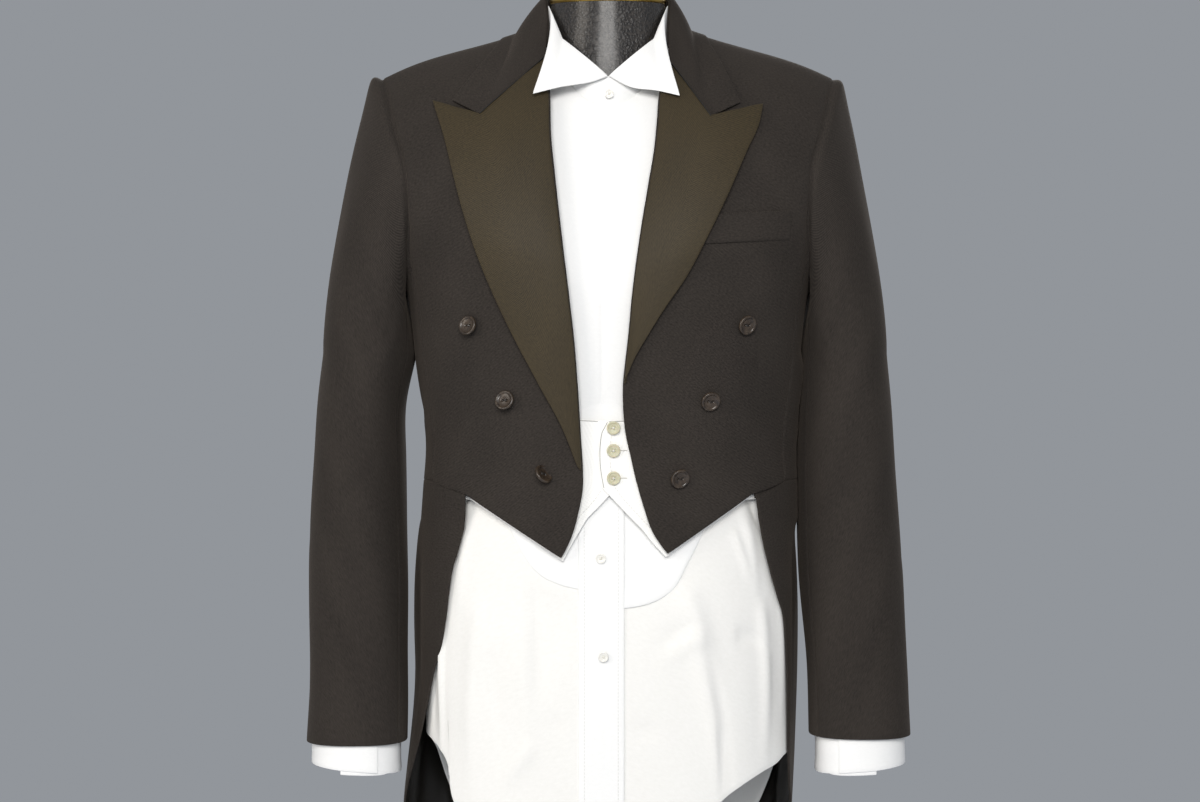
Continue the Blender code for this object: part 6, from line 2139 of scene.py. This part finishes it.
class TAILCOAT_OT_shirt_front(bpy.types.Operator):
    """The starched front and the placket"""
    bl_idname = "tailcoat.shirt_front"
    bl_label = "Shirt front"

    def execute(self, context):
        shirt_front(context.scene.tailcoat_linen)
        return {"FINISHED"}


class TAILCOAT_OT_shirt_sleeves(bpy.types.Operator):
    """Shirt sleeves and starched cuffs"""
    bl_idname = "tailcoat.shirt_sleeves"
    bl_label = "Shirt sleeves"

    def execute(self, context):
        shirt_sleeves(context.scene.tailcoat_linen)
        return {"FINISHED"}


class TAILCOAT_OT_band(bpy.types.Operator):
    """Band of the shirt's collar"""
    bl_idname = "tailcoat.band"
    bl_label = "Collar band"

    def execute(self, context):
        collar_band(context.scene.tailcoat_linen)
        return {"FINISHED"}


class TAILCOAT_OT_wings(bpy.types.Operator):
    """Folded wings of the shirt's collar"""
    bl_idname = "tailcoat.wings"
    bl_label = "Collar wings"

    def execute(self, context):
        wings(context.scene.tailcoat_linen)
        return {"FINISHED"}


class TAILCOAT_OT_waistcoat(bpy.types.Operator):
    """Fronts and straps of the waistcoat"""
    bl_idname = "tailcoat.waistcoat"
    bl_label = "Waistcoat"

    def execute(self, context):
        waistcoat(context.scene.tailcoat_linen)
        return {"FINISHED"}


class TAILCOAT_OT_coat_buttons(bpy.types.Operator):
    """Buttons of the coat's fronts and back"""
    bl_idname = "tailcoat.coat_buttons"
    bl_label = "Coat buttons"

    def execute(self, context):
        coat_buttons(context.scene.tailcoat_cloth)
        return {"FINISHED"}


class TAILCOAT_OT_linen_buttons(bpy.types.Operator):
    """Buttons of the waistcoat and the shirt"""
    bl_idname = "tailcoat.linen_buttons"
    bl_label = "Linen buttons"

    def execute(self, context):
        linen_buttons(context.scene.tailcoat_linen)
        return {"FINISHED"}


class TAILCOAT_OT_stitches(bpy.types.Operator):
    """Stitches, buttonholes and edge seams"""
    bl_idname = "tailcoat.stitches"
    bl_label = "Stitches"

    def execute(self, context):
        stitches()
        return {"FINISHED"}


class TAILCOAT_OT_form(bpy.types.Operator):
    """The covered form with its neck ring and cap"""
    bl_idname = "tailcoat.form"
    bl_label = "Form"

    def execute(self, context):
        form()
        return {"FINISHED"}


class TAILCOAT_OT_stand(bpy.types.Operator):
    """Base and pole"""
    bl_idname = "tailcoat.stand"
    bl_label = "Stand"

    def execute(self, context):
        stand()
        return {"FINISHED"}


class TAILCOAT_OT_stage(bpy.types.Operator):
    """Floor, light and camera"""
    bl_idname = "tailcoat.stage"
    bl_label = "Stage"

    def execute(self, context):
        stage(context.scene.tailcoat_light)
        return {"FINISHED"}


OPERATORS = (
    TAILCOAT_OT_coat_body,
    TAILCOAT_OT_coat_backs,
    TAILCOAT_OT_tails,
    TAILCOAT_OT_lapels,
    TAILCOAT_OT_collar,
    TAILCOAT_OT_pocket,
    TAILCOAT_OT_sleeves,
    TAILCOAT_OT_shirt,
    TAILCOAT_OT_shirt_front,
    TAILCOAT_OT_shirt_sleeves,
    TAILCOAT_OT_band,
    TAILCOAT_OT_wings,
    TAILCOAT_OT_waistcoat,
    TAILCOAT_OT_coat_buttons,
    TAILCOAT_OT_linen_buttons,
    TAILCOAT_OT_stitches,
    TAILCOAT_OT_form,
    TAILCOAT_OT_stand,
    TAILCOAT_OT_stage,
)


class TAILCOAT_PT_sidebar(bpy.types.Panel):
    """Sizes and building steps of the tailcoat."""
    bl_idname = "TAILCOAT_PT_sidebar"
    bl_label = "Tailcoat"
    bl_space_type = "VIEW_3D"
    bl_region_type = "UI"
    bl_category = "Tailcoat"

    def draw(self, context):
        for sizes in (context.scene.tailcoat_cloth, context.scene.tailcoat_linen,
                      context.scene.tailcoat_light):
            box = self.layout.box()
            for key in sizes.__annotations__:
                box.prop(sizes, key)
        for step in OPERATORS:
            self.layout.operator(step.bl_idname)


SIZES = {"tailcoat_cloth": TailcoatSettings, "tailcoat_linen": LinenSettings,
         "tailcoat_light": StageSettings}


def register():
    for kind in tuple(SIZES.values()) + OPERATORS + (TAILCOAT_PT_sidebar,):
        bpy.utils.register_class(kind)
    for key, kind in SIZES.items():
        setattr(bpy.types.Scene, key, PointerProperty(type=kind))


def unregister():
    for key in SIZES:
        delattr(bpy.types.Scene, key)
    for kind in (TAILCOAT_PT_sidebar,) + OPERATORS[::-1] + tuple(SIZES.values()):
        bpy.utils.unregister_class(kind)


def main():
    register()
    for step in OPERATORS:
        group, name = step.bl_idname.split(".")
        getattr(getattr(bpy.ops, group), name)()


if __name__ == "__main__":
    main()
